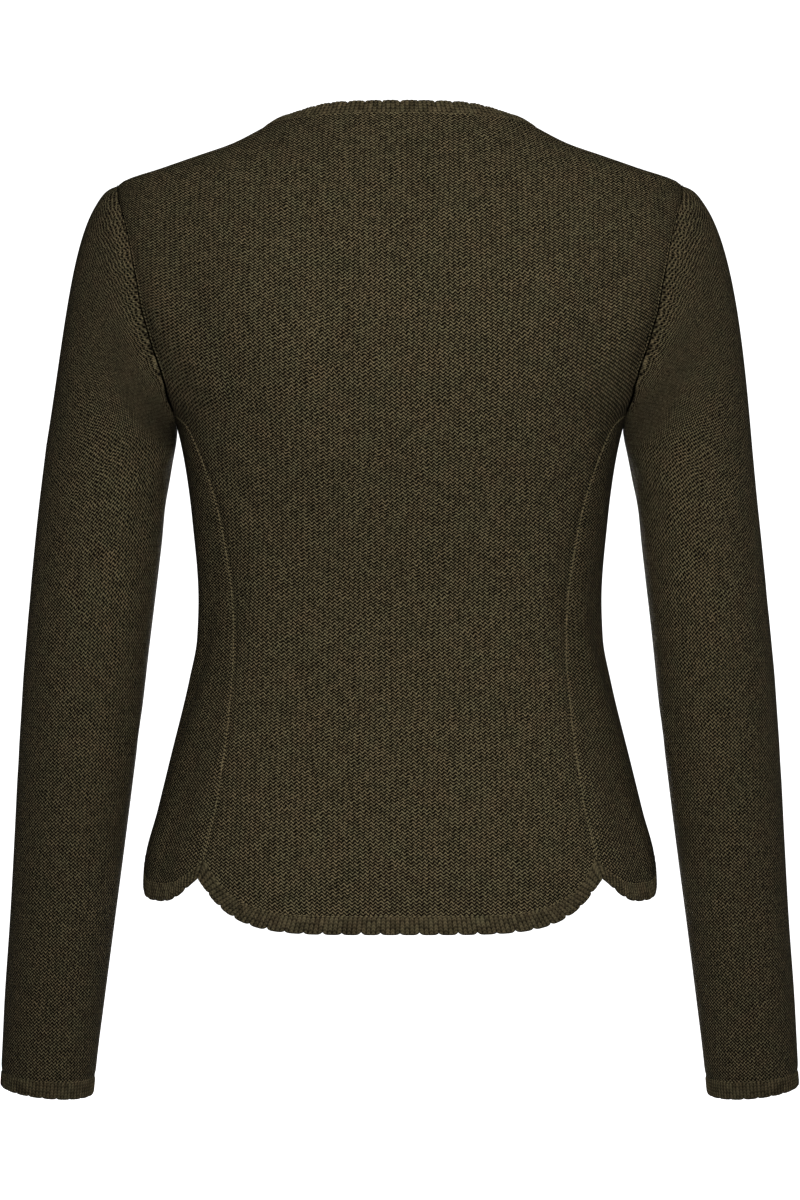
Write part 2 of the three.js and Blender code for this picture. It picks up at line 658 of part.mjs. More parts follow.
function cuffColumns(side) {
  const radius = (armHalf(side, CUFF_SEAM) + armDepth(CUFF_SEAM)) / 2;
  const count = Math.round((2 * Math.PI * radius) / CUFF_SCALLOP) * COLUMNS_PER_SCALLOP;
  const rootZ = CUFF_SEAM - SEAM_GAP;
  return range(count).map((k) => {
    const angle = (k / count) * 2 * Math.PI;
    const root = armPoint(side, rootZ, angle);
    const tip = armPoint(side, rootZ - CUFF_BAND, angle);
    const round = armPoint(side, rootZ, angle + 0.02).sub(root);
    const normal = round.cross(tip.clone().sub(root)).multiplyScalar(-side).normalize();
    return { root, tip, rootNormal: normal, tipNormal: normal };
  });
}

// The front bands overlap at the centre: the wearer's right one lies outside the left one.
const BAND_ROWS = 26;
const BAND_COLUMNS = 4;
const BAND_LAYER = { right: 0.3, left: -(BAND_CLOTH + SEAM_GAP) };
const bandTop = NECK.front + NECK_BAND * Math.sqrt(1 - NECK_LEAN[2].inward ** 2) + NECK.side;
const bandFoot = NOTCH - LOBES.front.depth;

function frontBandRows(layer) {
  return range(BAND_ROWS + 1).map((i) => {
    const z = lerp(bandFoot, bandTop, i / BAND_ROWS);
    return range(BAND_COLUMNS + 1).map((j) => {
      const x = lerp(-FRONT_BAND / 2, FRONT_BAND / 2, j / BAND_COLUMNS);
      const { point, normal } = surface(Math.sign(x) || 1, turnAtX(z, 'front', Math.abs(x)), z);
      return { point: point.addScaledVector(normal, layer), normal };
    });
  });
}

// A domed button with a raised rim, its back towards the cloth.
const BUTTON_SIDES = 16;
function buttonGeometry() {
  const { radius, rim, dome } = BUTTON;
  const profile = [
    [0, 0],
    [radius - 0.6, 0],
    [radius, 1],
    [radius - 0.4, 2],
    [radius - rim, 1.7],
    [radius / 2.2, dome - 0.5],
    [0, dome],
  ];
  return new THREE.LatheGeometry(profile.map(([r, h]) => new THREE.Vector2(r, h)), BUTTON_SIDES);
}

function button(index) {
  const z = lerp(BUTTON.first, BUTTON.last, index / (BUTTON.count - 1));
  const { point, normal } = surface(1, 2, z);
  const mesh = new THREE.Mesh(buttonGeometry(), materials.button);
  normal.x = 0;
  mesh.quaternion.setFromUnitVectors(new THREE.Vector3(0, 1, 0), normal.normalize());
  mesh.position.copy(point.setX(0)).addScaledVector(normal, BAND_LAYER.right + SEAM_GAP);
  return mesh;
}

// Assembly
const finish = (name, color, roughness, metalness) => (
  new THREE.MeshStandardMaterial({ name, color, roughness, metalness })
);
const materials = {
  panel: finish('knit', 0x3a3425, 0.95, 0),
  band: finish('rib', 0x3a3425, 0.92, 0),
  button: finish('button', 0x8a8478, 0.4, 0.9),
};

const garment = new THREE.Group();
function place(name, geometry, material) {
  const mesh = new THREE.Mesh(geometry, material);
  mesh.name = name;
  garment.add(mesh);
}

const wearer = { left: 1, right: -1 };
const back = backRows();
place('back', wall(back, CLOTH), materials.panel);

const panels = { back };
for (const [hand, side] of Object.entries(wearer)) {
  panels[hand] = {
    sideBack: sidePanel(side, 'back'),
    sideFront: sidePanel(side, 'front'),
    front: frontRows(side),
  };
  place(`side_back_${hand}`, wall(panels[hand].sideBack, CLOTH), materials.panel);
  place(`side_front_${hand}`, wall(panels[hand].sideFront, CLOTH), materials.panel);
  place(`front_${hand}`, wall(panels[hand].front, CLOTH), materials.panel);
  place(`sleeve_${hand}`, wall(sleeveRows(side), CLOTH, true), materials.panel);
  place(`cuff_${hand}`, ribbedBand(cuffColumns(side), true), materials.band);
  place(`front_band_${hand}`, wall(frontBandRows(BAND_LAYER[hand]), BAND_CLOTH), materials.band);
}

// The hem band on one side, from the centre front to the notch beside the back.
function hemSide(side, { sideBack, sideFront, front }) {
  const whole = (share) => 2 * share - 1;
  const frontLobe = {
    side,
    lobe: LOBES.front,
    across: (share) => share,
    start: (z) => turnAtX(z, 'front', frontEdge),
    end: (z) => seamTurn(z, 'front'),
    seamRow: [...front[0]].reverse(),
  };
  const sideFrontLobe = {
    side,
    lobe: LOBES.side,
    across: whole,
    start: (z) => seamTurn(z, 'front'),
    end: sideSeam,
    seamRow: sideFront[0],
  };
  const sideBackLobe = {
    side,
    lobe: LOBES.side,
    across: whole,
    start: sideSeam,
    end: (z) => seamTurn(z, 'back'),
    seamRow: [...sideBack[0]].reverse(),
  };
  return [frontLobe, sideFrontLobe, sideBackLobe].map(hemColumns);
}

function hemBackHalf(side) {
  const columns = (back[0].length - 1) / 2;
  const row = side > 0 ? back[0].slice(columns) : back[0].slice(0, columns + 1).reverse();
  return hemColumns({
    side,
    lobe: LOBES.back,
    across: (share) => share,
    start: () => 0,
    end: (z) => seamTurn(z, 'back'),
    seamRow: row,
  });
}

// Joins the columns of neighbouring lobes, which share the column at their notch.
const joined = (pieces) => pieces.flatMap((piece, i) => (i ? piece.slice(1) : piece));
const hemLoop = joined([
  ...hemSide(1, panels.left),
  hemBackHalf(1).reverse(),
  hemBackHalf(-1),
  ...hemSide(-1, panels.right).reverse().map((piece) => piece.reverse()),
]);
place('hem_band', ribbedBand(hemLoop), materials.band);

// The neckline on one side, up from the centre front to the shoulder seam.
const NECKLINE_ROWS = UNDERARM_STEP - PLAIN_ROWS + 1;
const necklineSide = (rows) => rows.slice(-NECKLINE_ROWS).map((row) => row[row.length - 1]);
const neckSeam = [
  ...necklineSide(panels.left.front),
  ...back[back.length - 1].slice(1, -1).reverse(),
  ...necklineSide(panels.right.front).reverse(),
];
place('neckband', ribbedBand(neckColumns(neckSeam)), materials.band);

for (const index of range(BUTTON.count)) {
  const mesh = button(index);
  mesh.name = `button_${index + 1}`;
  garment.add(mesh);
}

export default garment;
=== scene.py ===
# A short fitted trachten cardigan in fine knit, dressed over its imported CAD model.
# Blender's own unit is the metre. The tables and functions here are in millimetres, with the
# CAD part's frame: +Z up, the wearer faces -Y, x = 0 at the centre of the body.
import math

import bmesh
import bpy
import numpy as np
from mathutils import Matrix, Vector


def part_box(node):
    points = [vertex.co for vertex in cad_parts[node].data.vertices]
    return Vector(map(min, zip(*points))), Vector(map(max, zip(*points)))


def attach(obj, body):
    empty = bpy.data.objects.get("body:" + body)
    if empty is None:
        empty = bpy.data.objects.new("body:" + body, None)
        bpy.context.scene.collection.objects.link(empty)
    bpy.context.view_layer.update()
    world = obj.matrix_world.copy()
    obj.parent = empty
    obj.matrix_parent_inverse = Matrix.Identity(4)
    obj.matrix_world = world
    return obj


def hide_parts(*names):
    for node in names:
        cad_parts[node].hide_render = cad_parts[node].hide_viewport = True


MM = 0.001

# Sizes shared with the CAD part
CLOTH = 1.6
BAND_CLOTH = 2.0
RIB_HEIGHT = 0.6
RIBS_PER_SCALLOP = 4
SCALLOP_DEPTH = 1.7
NECK_SCALLOP = 12.3
HEM_SCALLOP = 12.3
CUFF_SCALLOP = 10.2
NECK_BAND = 10.2
HEM_BAND = 12
CUFF_BAND = 12.5
FRONT_BAND = 22
SEAM_GAP = 0.3
BODY_POWER = 2.4


def table(columns, rows):
    """A short table with named columns, sorted by its first one."""
    names = columns.split()
    data = np.array(sorted(rows), float)
    return {name: data[:, i] for i, name in enumerate(names)}


# Body cross-sections: half width at the side line, depth behind it and depth before it
SECTIONS = table("z half back front", [
    (18, 52, 45, 18),
    (4.7, 84, 54, 30),
    (0, 92.5, 57, 36),
    (-11, 114, 63, 44),
    (-19, 137, 67, 50),
    (-27, 160, 71, 55),
    (-37, 187, 75, 60),
    (-60, 197, 83, 69),
    (-95, 202.5, 91, 82),
    (-118, 199.5, 94, 91),
    (-142, 188.4, 96, 100),
    (-165, 171.2, 96, 106),
    (-180, 159.5, 95, 109),
    (-193, 149.5, 93, 110),
    (-219, 143.8, 88, 108),
    (-259, 138.4, 78, 98),
    (-313, 134.3, 70, 86),
    (-338, 135.2, 71, 84),
    (-366, 140.4, 76, 86),
    (-420, 153.5, 91, 94),
    (-453, 161.5, 99, 98.5),
    (-486, 169.6, 106, 102),
    (-545, 172, 114, 107),
])

# Soft swellings of the figure: face (1 behind, -1 before), x, z, width, height, how far out
SWELLINGS = [
    (1, 92, -128, 46, 50, 4),
    (1, 62, -500, 60, 60, 4),
    (-1, 80, -202, 38, 46, 11),
]

# Creases beside the waist, with the columns of the folds below
CREASES = [
    (1, 0.84, -352, 62, 11, 3.2, -0.05),
    (-1, 0.86, -340, 54, 10, 2.6, -0.04),
    (1, 1.16, -346, 58, 11, 2.8, 0.05),
    (-1, 1.13, -358, 64, 12, 3.1, 0.04),
]

# Finer soft folds: side, turn, z, half length, half width, depth, lean.
# A turn is a quarter of the way round, from 0 at the centre back to 2 at the centre front.
# lean is how far the fold runs round the body, in turns, for each half length upwards.
FOLDS = [
    (1, 1.0, -200, 14, 16, -0.7, 0.0),
    (-1, 1.0, -200, 14, 16, -0.7, 0.0),
    (1, 0.0, -410, 120, 24, -1.4, 0.0),
    (-1, 0.0, -410, 120, 24, -1.4, 0.0),
    (1, 0.35, -122, 78, 18, -1.8, 0.0),
    (-1, 0.3, -140, 66, 18, -2.0, 0.0),
    (1, 0.56, -122, 70, 17, 2.6, 0.03),
    (-1, 0.55, -130, 66, 17, 2.5, 0.04),
    (1, 0.7, -165, 50, 13, 1.6, 0.05),
    (-1, 0.69, -170, 48, 13, 1.5, 0.06),
    (1, 0.6, -214, 34, 9, -1.1, 0.16),
    (-1, 0.62, -220, 30, 9, -1.0, 0.15),
    (1, 0.5, -262, 30, 10, 1.3, 0.14),
    (-1, 0.53, -256, 34, 10, 1.2, 0.12),
    (1, 0.33, -290, 66, 15, 1.6, 0.03),
    (-1, 0.31, -325, 70, 15, 1.7, 0.02),
    (1, 0.7, -345, 92, 15, 3.2, -0.02),
    (-1, 0.7, -355, 96, 15, 3.4, -0.03),
    (1, 0.42, -322, 20, 12, 0.8, 0.3),
    (-1, 0.36, -336, 22, 11, 0.7, 0.26),
    (1, 0.18, -345, 14, 14, -0.5, -0.3),
    (1, 0.76, -462, 60, 18, 3.4, 0.0),
    (-1, 0.78, -455, 62, 18, 3.3, 0.02),
    (1, 0.36, -478, 50, 22, -0.9, 0.03),
    (-1, 0.42, -488, 44, 20, -0.8, -0.02),
    (1, 1.45, -228, 30, 9, 1.2, -0.18),
    (-1, 1.47, -224, 34, 9, 1.3, -0.16),
    (1, 1.34, -330, 90, 14, 2.4, 0.03),
    (-1, 1.33, -342, 86, 14, 2.2, 0.02),
    (1, 1.66, -330, 26, 12, 0.9, -0.2),
    (-1, 1.63, -344, 28, 12, 0.8, -0.22),
    (1, 1.26, -462, 60, 16, 2.2, 0.02),
    (-1, 1.27, -456, 58, 16, 2.0, -0.02),
]

ARMHOLE_TOP = -37
ARMHOLE_BOTTOM = -193
ARMHOLE_TURN = 35
ARMHOLE_STEPS = 24
UNDERARM_STEP = 11

SEAMS = table("z back front", [
    (-199, 140, 141),
    (-215, 132.4, 134),
    (-237, 124.2, 125),
    (-264, 117.5, 116),
    (-313, 110.9, 105),
    (-345, 109.6, 103),
    (-383, 110.6, 104),
    (-422, 114.7, 109),
    (-450, 119, 115),
    (-480, 126.6, 123),
    (-500, 134, 130),
])

NOTCH = -494
BAND_NOTCH = -479
# How far each lobe hangs below the notch, and the power of its curve
LOBES = {"back": (32.1, 5.6), "side": (15.8, 2.9), "front": (29.4, 5.6)}
NOTCH_ROUNDING = 6

NECK_HALF = 92.5
NECK_BACK = 4.7
NECK_SIDE = -0.4
NECK_FRONT = -72
NECK_LEAN = table("turn inward", [(0, 0.42), (0.45, 0.47), (0.8, 0.84), (1, 0.84), (2, 0.3)])
NECK_CURVE = 3

ARM = table("z x y half depth slim", [
    (-212, 193, 2, 42.4, 50, 1),
    (-262, 199.3, 3, 42, 48, 2.2),
    (-313, 204.9, 3, 41.4, 46, 2),
    (-366, 210.5, 1, 40.2, 44, 1.3),
    (-420, 215.8, -3, 38.8, 42, 0.9),
    (-474, 221, -8, 36.9, 39.5, 0.8),
    (-528, 226.5, -12.5, 35, 37, 0.8),
    (-581, 232, -16.5, 33.4, 35, 0.6),
    (-620, 235.5, -19, 32, 33.5, 0.4),
    (-650, 238, -21, 31.4, 33, 0.4),
])
ARM_TOP = -212
CUFF_SEAM = -630.5

CAP = table("turn out back down leave arrive", [
    (0, 1, 0, 0.35, 31, 98),
    (1, 0.75, 0.3, 0.55, 30, 40),
    (2, 0.12, 0, 1, 7, 7),
    (3, 0.75, -0.3, 0.55, 30, 40),
    (4, 1, 0, 0.35, 31, 98),
])

BUTTON_COUNT = 8
BUTTON_RADIUS = 7.5
BUTTON_DOME = 3.4
BUTTON_FIRST = -84
BUTTON_LAST = -504

# Knit gauge: width of one stitch and height of one row
BODY_STITCH = (3.4, 2.2)
SLEEVE_STITCH = (2.6, 2.35)
RIB_ROW = 2.3

# Camera, worked out from the photograph's frame
CAMERA_DISTANCE = 2400
CAMERA_HEIGHT = -313
FRAME_HEIGHT = 800.4


def lerp(a, b, t):
    return a + (b - a) * t


def curve(tab, column):
    """A smooth curve through one column of a table, which never swings past its rows."""
    keys = list(tab)
    xs = tab[keys[0]]
    ys = tab[column]
    rise = np.diff(ys) / np.diff(xs)
    slope = np.zeros_like(xs)
    slope[0] = rise[0]
    slope[-1] = rise[-1]
    before, after = rise[:-1], rise[1:]
    same = before * after > 0
    total = np.where(same, before + after, 1)
    slope[1:-1] = np.where(same, 2 * before * after / total, 0)

    def at(x):
        x = np.asarray(x, float)
        i = np.clip(np.searchsorted(xs, x, side="left") - 1, 0, len(xs) - 2)
        step = xs[i + 1] - xs[i]
        t = np.clip((x - xs[i]) / step, 0, 1)
        value = (1 + 2 * t) * (1 - t) ** 2 * ys[i] + t * t * (3 - 2 * t) * ys[i + 1]
        bend = t * (1 - t) ** 2 * slope[i] - t * t * (1 - t) * slope[i + 1]
        return value + step * bend

    return at


half_at = curve(SECTIONS, "half")
back_at = curve(SECTIONS, "back")
front_at = curve(SECTIONS, "front")

# Arc length round a quarter of a superellipse, for a range of depth to width ratios
RATIOS = np.linspace(0.2, 1.2, 81)
ANGLES = np.linspace(0, math.pi / 2, 721)
SHARES = np.linspace(0, 1, 721)


def superellipse_tables():
    across = np.sin(ANGLES) ** (2 / BODY_POWER)
    deep = np.maximum(np.cos(ANGLES), 0) ** (2 / BODY_POWER)
    share_rows, angle_rows, lengths = [], [], []
    for ratio in RATIOS:
        steps = np.hypot(np.diff(across), ratio * np.diff(deep))
        reach = np.concatenate([[0], np.cumsum(steps)])
        lengths.append(reach[-1])
        share_rows.append(reach / reach[-1])
        angle_rows.append(np.interp(SHARES, reach / reach[-1], ANGLES))
    return np.array(share_rows), np.array(angle_rows), np.array(lengths)


SHARE_OF_ANGLE, ANGLE_OF_SHARE, QUARTER_LENGTH = superellipse_tables()


def lookup(grid, ratio, place):
    """Reads a table by its ratio and by a place from 0 to 1, smoothly in both."""
    row = (ratio - RATIOS[0]) / (RATIOS[-1] - RATIOS[0]) * (len(RATIOS) - 1)
    column = np.clip(place, 0, 1) * (grid.shape[1] - 1)
    i = np.clip(row.astype(int), 0, len(RATIOS) - 2)
    j = np.clip(column.astype(int), 0, grid.shape[1] - 2)
    s, t = row - i, column - j
    low = lerp(grid[i, j], grid[i, j + 1], t)
    high = lerp(grid[i + 1, j], grid[i + 1, j + 1], t)
    return lerp(low, high, s)


def depth_at(z, behind):
    return np.where(behind, back_at(z), front_at(z))


def quarter_length(z, behind):
    ratio = depth_at(z, behind) / half_at(z)
    return half_at(z) * np.interp(ratio, RATIOS, QUARTER_LENGTH)


def turn_at_x(z, behind, x):
    """Place round the body, in quarter turns from the centre back, of a distance x."""
    z = np.asarray(z, float)
    half = half_at(z)
    angle = np.arcsin(np.clip((x / half) ** (BODY_POWER / 2), 0, 1))
    share = lookup(SHARE_OF_ANGLE, depth_at(z, behind) / half, angle / (math.pi / 2))
    return share if behind else 2 - share


def turn_at_angle(z, angle):
    """The same, of an angle in degrees from the centre back."""
    behind = angle <= 90
    from_centre = np.radians(np.where(behind, angle, 180 - angle))
    x = half_at(z) * np.sin(from_centre) ** (2 / BODY_POWER)
    return np.where(behind, turn_at_x(z, True, x), turn_at_x(z, False, x))


def bell(distance, width):
    return np.exp(-((distance / width) ** 2))


def body_point(side, turn, z, folds=True):
    """Points of the filled-out body, with the figure's swellings and the cloth's folds."""
    side, turn, z = np.broadcast_arrays(
        np.asarray(side, float), np.asarray(turn, float), np.asarray(z, float)
    )
    behind = turn <= 1
    half = half_at(z)
    depth = depth_at(z, behind)
    share = np.clip(np.where(behind, turn, 2 - turn), 0, 1)
    angle = lookup(ANGLE_OF_SHARE, depth / half, share)
    flat_x = half * np.sin(angle) ** (2 / BODY_POWER)
    flat_y = depth * np.maximum(np.cos(angle), 0) ** (2 / BODY_POWER)
    length = quarter_length(z, behind)
    out = np.zeros_like(flat_x)
    for face, x, height, wide, high, far in SWELLINGS:
        here = behind if face > 0 else ~behind
        out += np.where(here, far * bell(flat_x - x, wide) * bell(z - height, high), 0)
    dent = np.zeros_like(flat_x)
    for hand, place, height, long, wide, deep, lean in CREASES + (FOLDS if folds else []):
        along = (z - height) / long
        away = (turn - place - lean * along) * length
        dent += np.where(side == hand, deep * bell(away, wide) * bell(along, 1), 0)
    facing_x = flat_x / half ** 2
    facing_y = flat_y / back_at(z) ** 2
    size = np.hypot(facing_x, facing_y) + 1e-12
    x = flat_x - dent * facing_x / size
    y = flat_y + out - dent * facing_y / size
    return np.stack([side * x, np.where(behind, y, -y), z], axis=-1)


def unit(v):
    return v / np.maximum(np.linalg.norm(v, axis=-1, keepdims=True), 1e-12)


def reach_along(line):
    """The length of a line of points from its start to each point."""
    return np.concatenate([[0], np.cumsum(np.linalg.norm(np.diff(line, axis=0), axis=1))])


def points_at(places, known, line):
    """Points of a line at places between the known ones."""
    return np.stack([np.interp(places, known, line[:, c]) for c in range(3)], -1)


# A normal is taken between points this far off in turn and in height, and not nearer to the centre back
NORMAL_TURN = 0.01
NORMAL_HEIGHT = 0.6
NORMAL_FIRST = 0.012


def body_normal(side, turn, z, folds=True):
    turn = np.maximum(turn, NORMAL_FIRST)
    before, after = turn - NORMAL_TURN, turn + NORMAL_TURN
    around = body_point(side, after, z, folds) - body_point(side, before, z, folds)
    low, high = z - NORMAL_HEIGHT, z + NORMAL_HEIGHT
    up = body_point(side, turn, high, folds) - body_point(side, turn, low, folds)
    side = np.broadcast_to(np.asarray(side, float), around.shape[:-1])
    return unit(np.cross(around, up) * -side[..., None])


def armhole_at(step):
    """Height and turn of the armhole at a step of its loop, on the back for steps 0 to 12."""
    angle = np.asarray(step, float) / ARMHOLE_STEPS * 2 * math.pi
    middle = (ARMHOLE_TOP + ARMHOLE_BOTTOM) / 2
    z = middle + (ARMHOLE_TOP - ARMHOLE_BOTTOM) / 2 * np.cos(angle)
    return z, turn_at_angle(z, 90 - ARMHOLE_TURN * np.sin(angle))


UNDERARM, UNDERARM_TURN = map(float, armhole_at(UNDERARM_STEP))
UNDERARM_X = body_point(1, UNDERARM_TURN, UNDERARM, folds=False)[0]
SEAM_ROWS = table("z back front", [
    *zip(SEAMS["z"], SEAMS["back"], SEAMS["front"]),
    (UNDERARM, UNDERARM_X, UNDERARM_X),
])
SEAM_X = {True: curve(SEAM_ROWS, "back"), False: curve(SEAM_ROWS, "front")}


def seam_turn(z, behind):
    return turn_at_x(z, behind, SEAM_X[behind](z))


def lobe_edge(lobe, across):
    """The free edge of a lobe, rounded where it meets the next one in a notch."""
    depth, power = LOBES[lobe]
    full = math.sqrt((depth + NOTCH_ROUNDING) ** 2 - NOTCH_ROUNDING ** 2)
    drop = full * (1 - np.abs(across) ** power)
    return NOTCH + NOTCH_ROUNDING - np.hypot(drop, NOTCH_ROUNDING)


def lobe_seam(lobe, across):
    drop, power = LOBES[lobe]
    depth = BAND_NOTCH - (NOTCH - drop + HEM_BAND)
    return BAND_NOTCH - depth + depth * np.abs(across) ** power


# The height that each row of stitches has at the centre line, along the cloth
PROFILE_Z = np.linspace(-560, 30, 591)
PROFILE_RUN = reach_along(np.stack([PROFILE_Z, back_at(PROFILE_Z)], -1))


def cloth_height(z):
    return np.interp(z, PROFILE_Z, PROFILE_RUN)


# Rows of stitches on the back rise towards the armholes
row_rise = curve(table("z rise", [
    (-520, 0),
    (-400, 0.0001),
    (-300, 0.0003),
    (-215, 0.0007),
    (-130, 0.0009),
    (-60, 0.0006),
    (5, 0.0003),
]), "rise")


# Mesh making


RIM_ANGLE = math.radians(62)
WELD_DISTANCE = 1e-6


def make_object(name, points, faces, material, knit=None, sharp_rims=False):
    """A smooth object; knit holds the stitch coordinates of its points."""
    mesh = bpy.data.meshes.new(name)
    mesh.from_pydata((points * MM).tolist(), [], faces)
    if knit is not None:
        mesh.validate()
        layer = mesh.uv_layers.new(name="knit")
        loops = np.empty(len(mesh.loops), int)
        mesh.loops.foreach_get("vertex_index", loops)
        layer.data.foreach_set("uv", knit[loops].astype(np.float32).ravel())
    mesh.polygons.foreach_set("use_smooth", np.ones(len(mesh.polygons), bool))
    if sharp_rims:
        mesh.set_sharp_from_angle(angle=RIM_ANGLE)
    mesh.materials.append(material)
    obj = bpy.data.objects.new(name, mesh)
    bpy.context.collection.objects.link(obj)
    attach(obj, "root")
    return obj


def grid_faces(rows, columns, around=False, flip=False, start=0):
    gaps = columns if around else columns - 1
    i, j = np.meshgrid(np.arange(rows - 1) * columns, np.arange(gaps), indexing="ij")
    k = (j + 1) % columns
    quads = np.stack([i + j, i + k, i + columns + k, i + columns + j], -1)
    quads = quads.reshape(-1, 4) + start
    return quads[:, ::-1] if flip else quads


def grid_normals(points, around=False):
    if around:
        across = np.roll(points, -1, 1) - np.roll(points, 1, 1)
    else:
        across = np.gradient(points, axis=1)
    return unit(np.cross(across, np.gradient(points, axis=0)))


def outer_normals(points, outward, around=False):
    """The grid's normals on its outer side, and whether they had to be turned."""
    normals = grid_normals(points, around)
    centre = (points.shape[0] // 2, points.shape[1] // 2)
    turned = np.dot(normals[centre], outward(points[centre])) < 0
    return (-normals, True) if turned else (normals, False)


def shell(name, points, knit, material, thickness, outward, tube=False):
    """A closed thin wall behind a grid of points; a tube's first and last columns meet."""
    rows, columns = points.shape[:2]
    if tube:
        normals, flip = outer_normals(points[:, :-1], outward, around=True)
        normals = np.concatenate([normals, normals[:, :1]], 1)
    else:
        normals, flip = outer_normals(points, outward)
    inner = points - normals * thickness
    count = rows * columns
    faces = [
        grid_faces(rows, columns, False, flip),
        grid_faces(rows, columns, False, not flip, count),
    ]
    index = np.arange(count).reshape(rows, columns)
    edges = [index[0], index[-1][::-1]]
    if not tube:
        edges = [np.concatenate([index[0], index[1:, -1], index[-1, -2::-1], index[-2::-1, 0]])]
    for edge in edges:
        rim = np.stack([edge[1:], edge[:-1], edge[:-1] + count, edge[1:] + count], -1)
        faces.append(rim[:, ::-1] if flip else rim)
    verts = np.concatenate([points.reshape(-1, 3), inner.reshape(-1, 3)])
    uv = np.concatenate([knit.reshape(-1, 2)] * 2)
    obj = make_object(name, verts, np.concatenate(faces).tolist(), material, uv, sharp_rims=True)
    if tube:
        weld(obj)
    return obj


def weld(obj):
    """Joins vertices that lie on each other; stitch coordinates stay with their own faces."""
    work = bmesh.new()
    work.from_mesh(obj.data)
    bmesh.ops.remove_doubles(work, verts=work.verts, dist=WELD_DISTANCE)
    work.to_mesh(obj.data)
    work.free()
    obj.data.update()


def grid_area(points):
    a, b = points[:-1, :-1], points[:-1, 1:]
    c, d = points[1:, 1:], points[1:, :-1]
    first = np.linalg.norm(np.cross(b - a, c - a), axis=-1)
    second = np.linalg.norm(np.cross(c - a, d - a), axis=-1)
    return float((first + second).sum() / 2)


def run_lengths(points, axis):
    return np.linalg.norm(np.diff(points, axis=axis), axis=-1).sum(axis=axis)


def declare(points):
    """Works out the piece's widest row, its longest column and its flat area, but does nothing with
    them.
    """
    wide = round(float(run_lengths(points, 1).max()) * MM, 3)
    long = round(float(run_lengths(points, 0).max()) * MM, 3)
    area = min(grid_area(points) * MM * MM, wide * long)


def knit_panel(node, points, u, v, material, outward, tube=False):
    """One knitted panel in place of its CAD node."""
    knit = np.stack([u, v], -1)
    obj = shell(f"{node}_knit", points, knit, material, CLOTH, outward, tube)
    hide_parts(node)
    declare(points)


# Panels of the body

# Rows are level above this height, and follow the hem's lobes below it
LEVEL_FOOT = -430
LOBE_ROW = 2.6
LEVEL_ROW = 2.8
HEM_START = BAND_NOTCH - 10

# How deep and how wide the cloth sinks into a seam, and how this fades at the underarm
SEAM_DIP = 0.9
SEAM_REACH = 2.6
UNDERARM_FADE = 0.85
UNDERARM_FADE_REACH = 16

# The back sinks more where it meets the lower half of the armhole
ARM_CREASE = -122
ARM_CREASE_REACH = 44
ARM_CREASE_DEPTH = 0.6
ARM_CREASE_WIDTH = 3.0

# Above this height the cloth turns level over the shoulders
SHOULDER_RUN_FOOT = -75
SHOULDER_RUN_REACH = 20

# Columns and rows of the panels, and the share of crowding of their columns at the seams
BACK_COLUMNS = 121
BACK_TOP_ROWS = 66
SHOULDER_STEPS = 4
SIDE_COLUMNS = 33
SIDE_LEVEL = -214
SIDE_TOP_ROWS = 8
FRONT_COLUMNS = 65
FRONT_TOP_ROWS = 55
CROWDING = 0.35

# The last turns on either side of the side line and of the shoulder line
SIDE_CLEAR = 0.0002
SHOULDER_CLEAR = 0.0005


def rows_between(start, end, spacing):
    return np.linspace(0, 1, max(2, int(round(abs(end - start) / spacing)) + 1))


def lower_rows(lobe, across, start, end, share, top):
    """Turn and height of a panel from its hem seam up to a level."""
    turns, heights = [], []
    for h in rows_between(HEM_START, LEVEL_FOOT, LOBE_ROW)[:-1]:
        foot = lerp(BAND_NOTCH, LEVEL_FOOT, h)
        turns.append(lerp(start(foot), end(foot), share))
        heights.append(lerp(lobe_seam(lobe, across(share)), LEVEL_FOOT, h))
    for h in rows_between(LEVEL_FOOT, top, LEVEL_ROW):
        z = lerp(LEVEL_FOOT, top, h)
        turns.append(lerp(start(z), end(z), share))
        heights.append(np.full_like(share, z))
    return turns, heights


def seam_dip(points, deep=SEAM_DIP, reach=SEAM_REACH):
    """Lets the panel's edges sink into its seams."""
    normals, _ = outer_normals(points, outward_of)
    steps = np.linalg.norm(np.diff(points, axis=1), axis=-1)
    from_left = np.concatenate([np.zeros((len(points), 1)), np.cumsum(steps, 1)], 1)
    from_right = from_left[:, -1:] - from_left
    dip = bell(from_left, reach) + bell(from_right, reach)
    at_underarm = bell(points[..., 2] - UNDERARM, UNDERARM_FADE_REACH)
    deep = deep * (1 - UNDERARM_FADE * at_underarm)
    return points - normals * (deep * np.minimum(dip, 1))[..., None]


def edge_shares(count):
    """Shares from 0 to 1, closer together at both ends so that the seams stay crisp."""
    t = np.linspace(0, 1, count)
    return lerp(t, 0.5 - 0.5 * np.cos(math.pi * t), CROWDING)


def outward_of(point):
    return np.array([point[0], point[1], 0.0])


def shoulder_run(points, v):
    """How much longer the cloth is than its height tells, where it lies over the shoulders."""
    steps = np.hypot(np.diff(points[..., 1], axis=0), np.diff(points[..., 2], axis=0))
    missed = np.maximum(steps - np.abs(np.diff(v, axis=0)), 0)
    near_top = np.clip((points[1:, :, 2] - SHOULDER_RUN_FOOT) / SHOULDER_RUN_REACH, 0, 1)
    return np.concatenate([np.zeros((1, points.shape[1])), np.cumsum(missed * near_top, 0)])


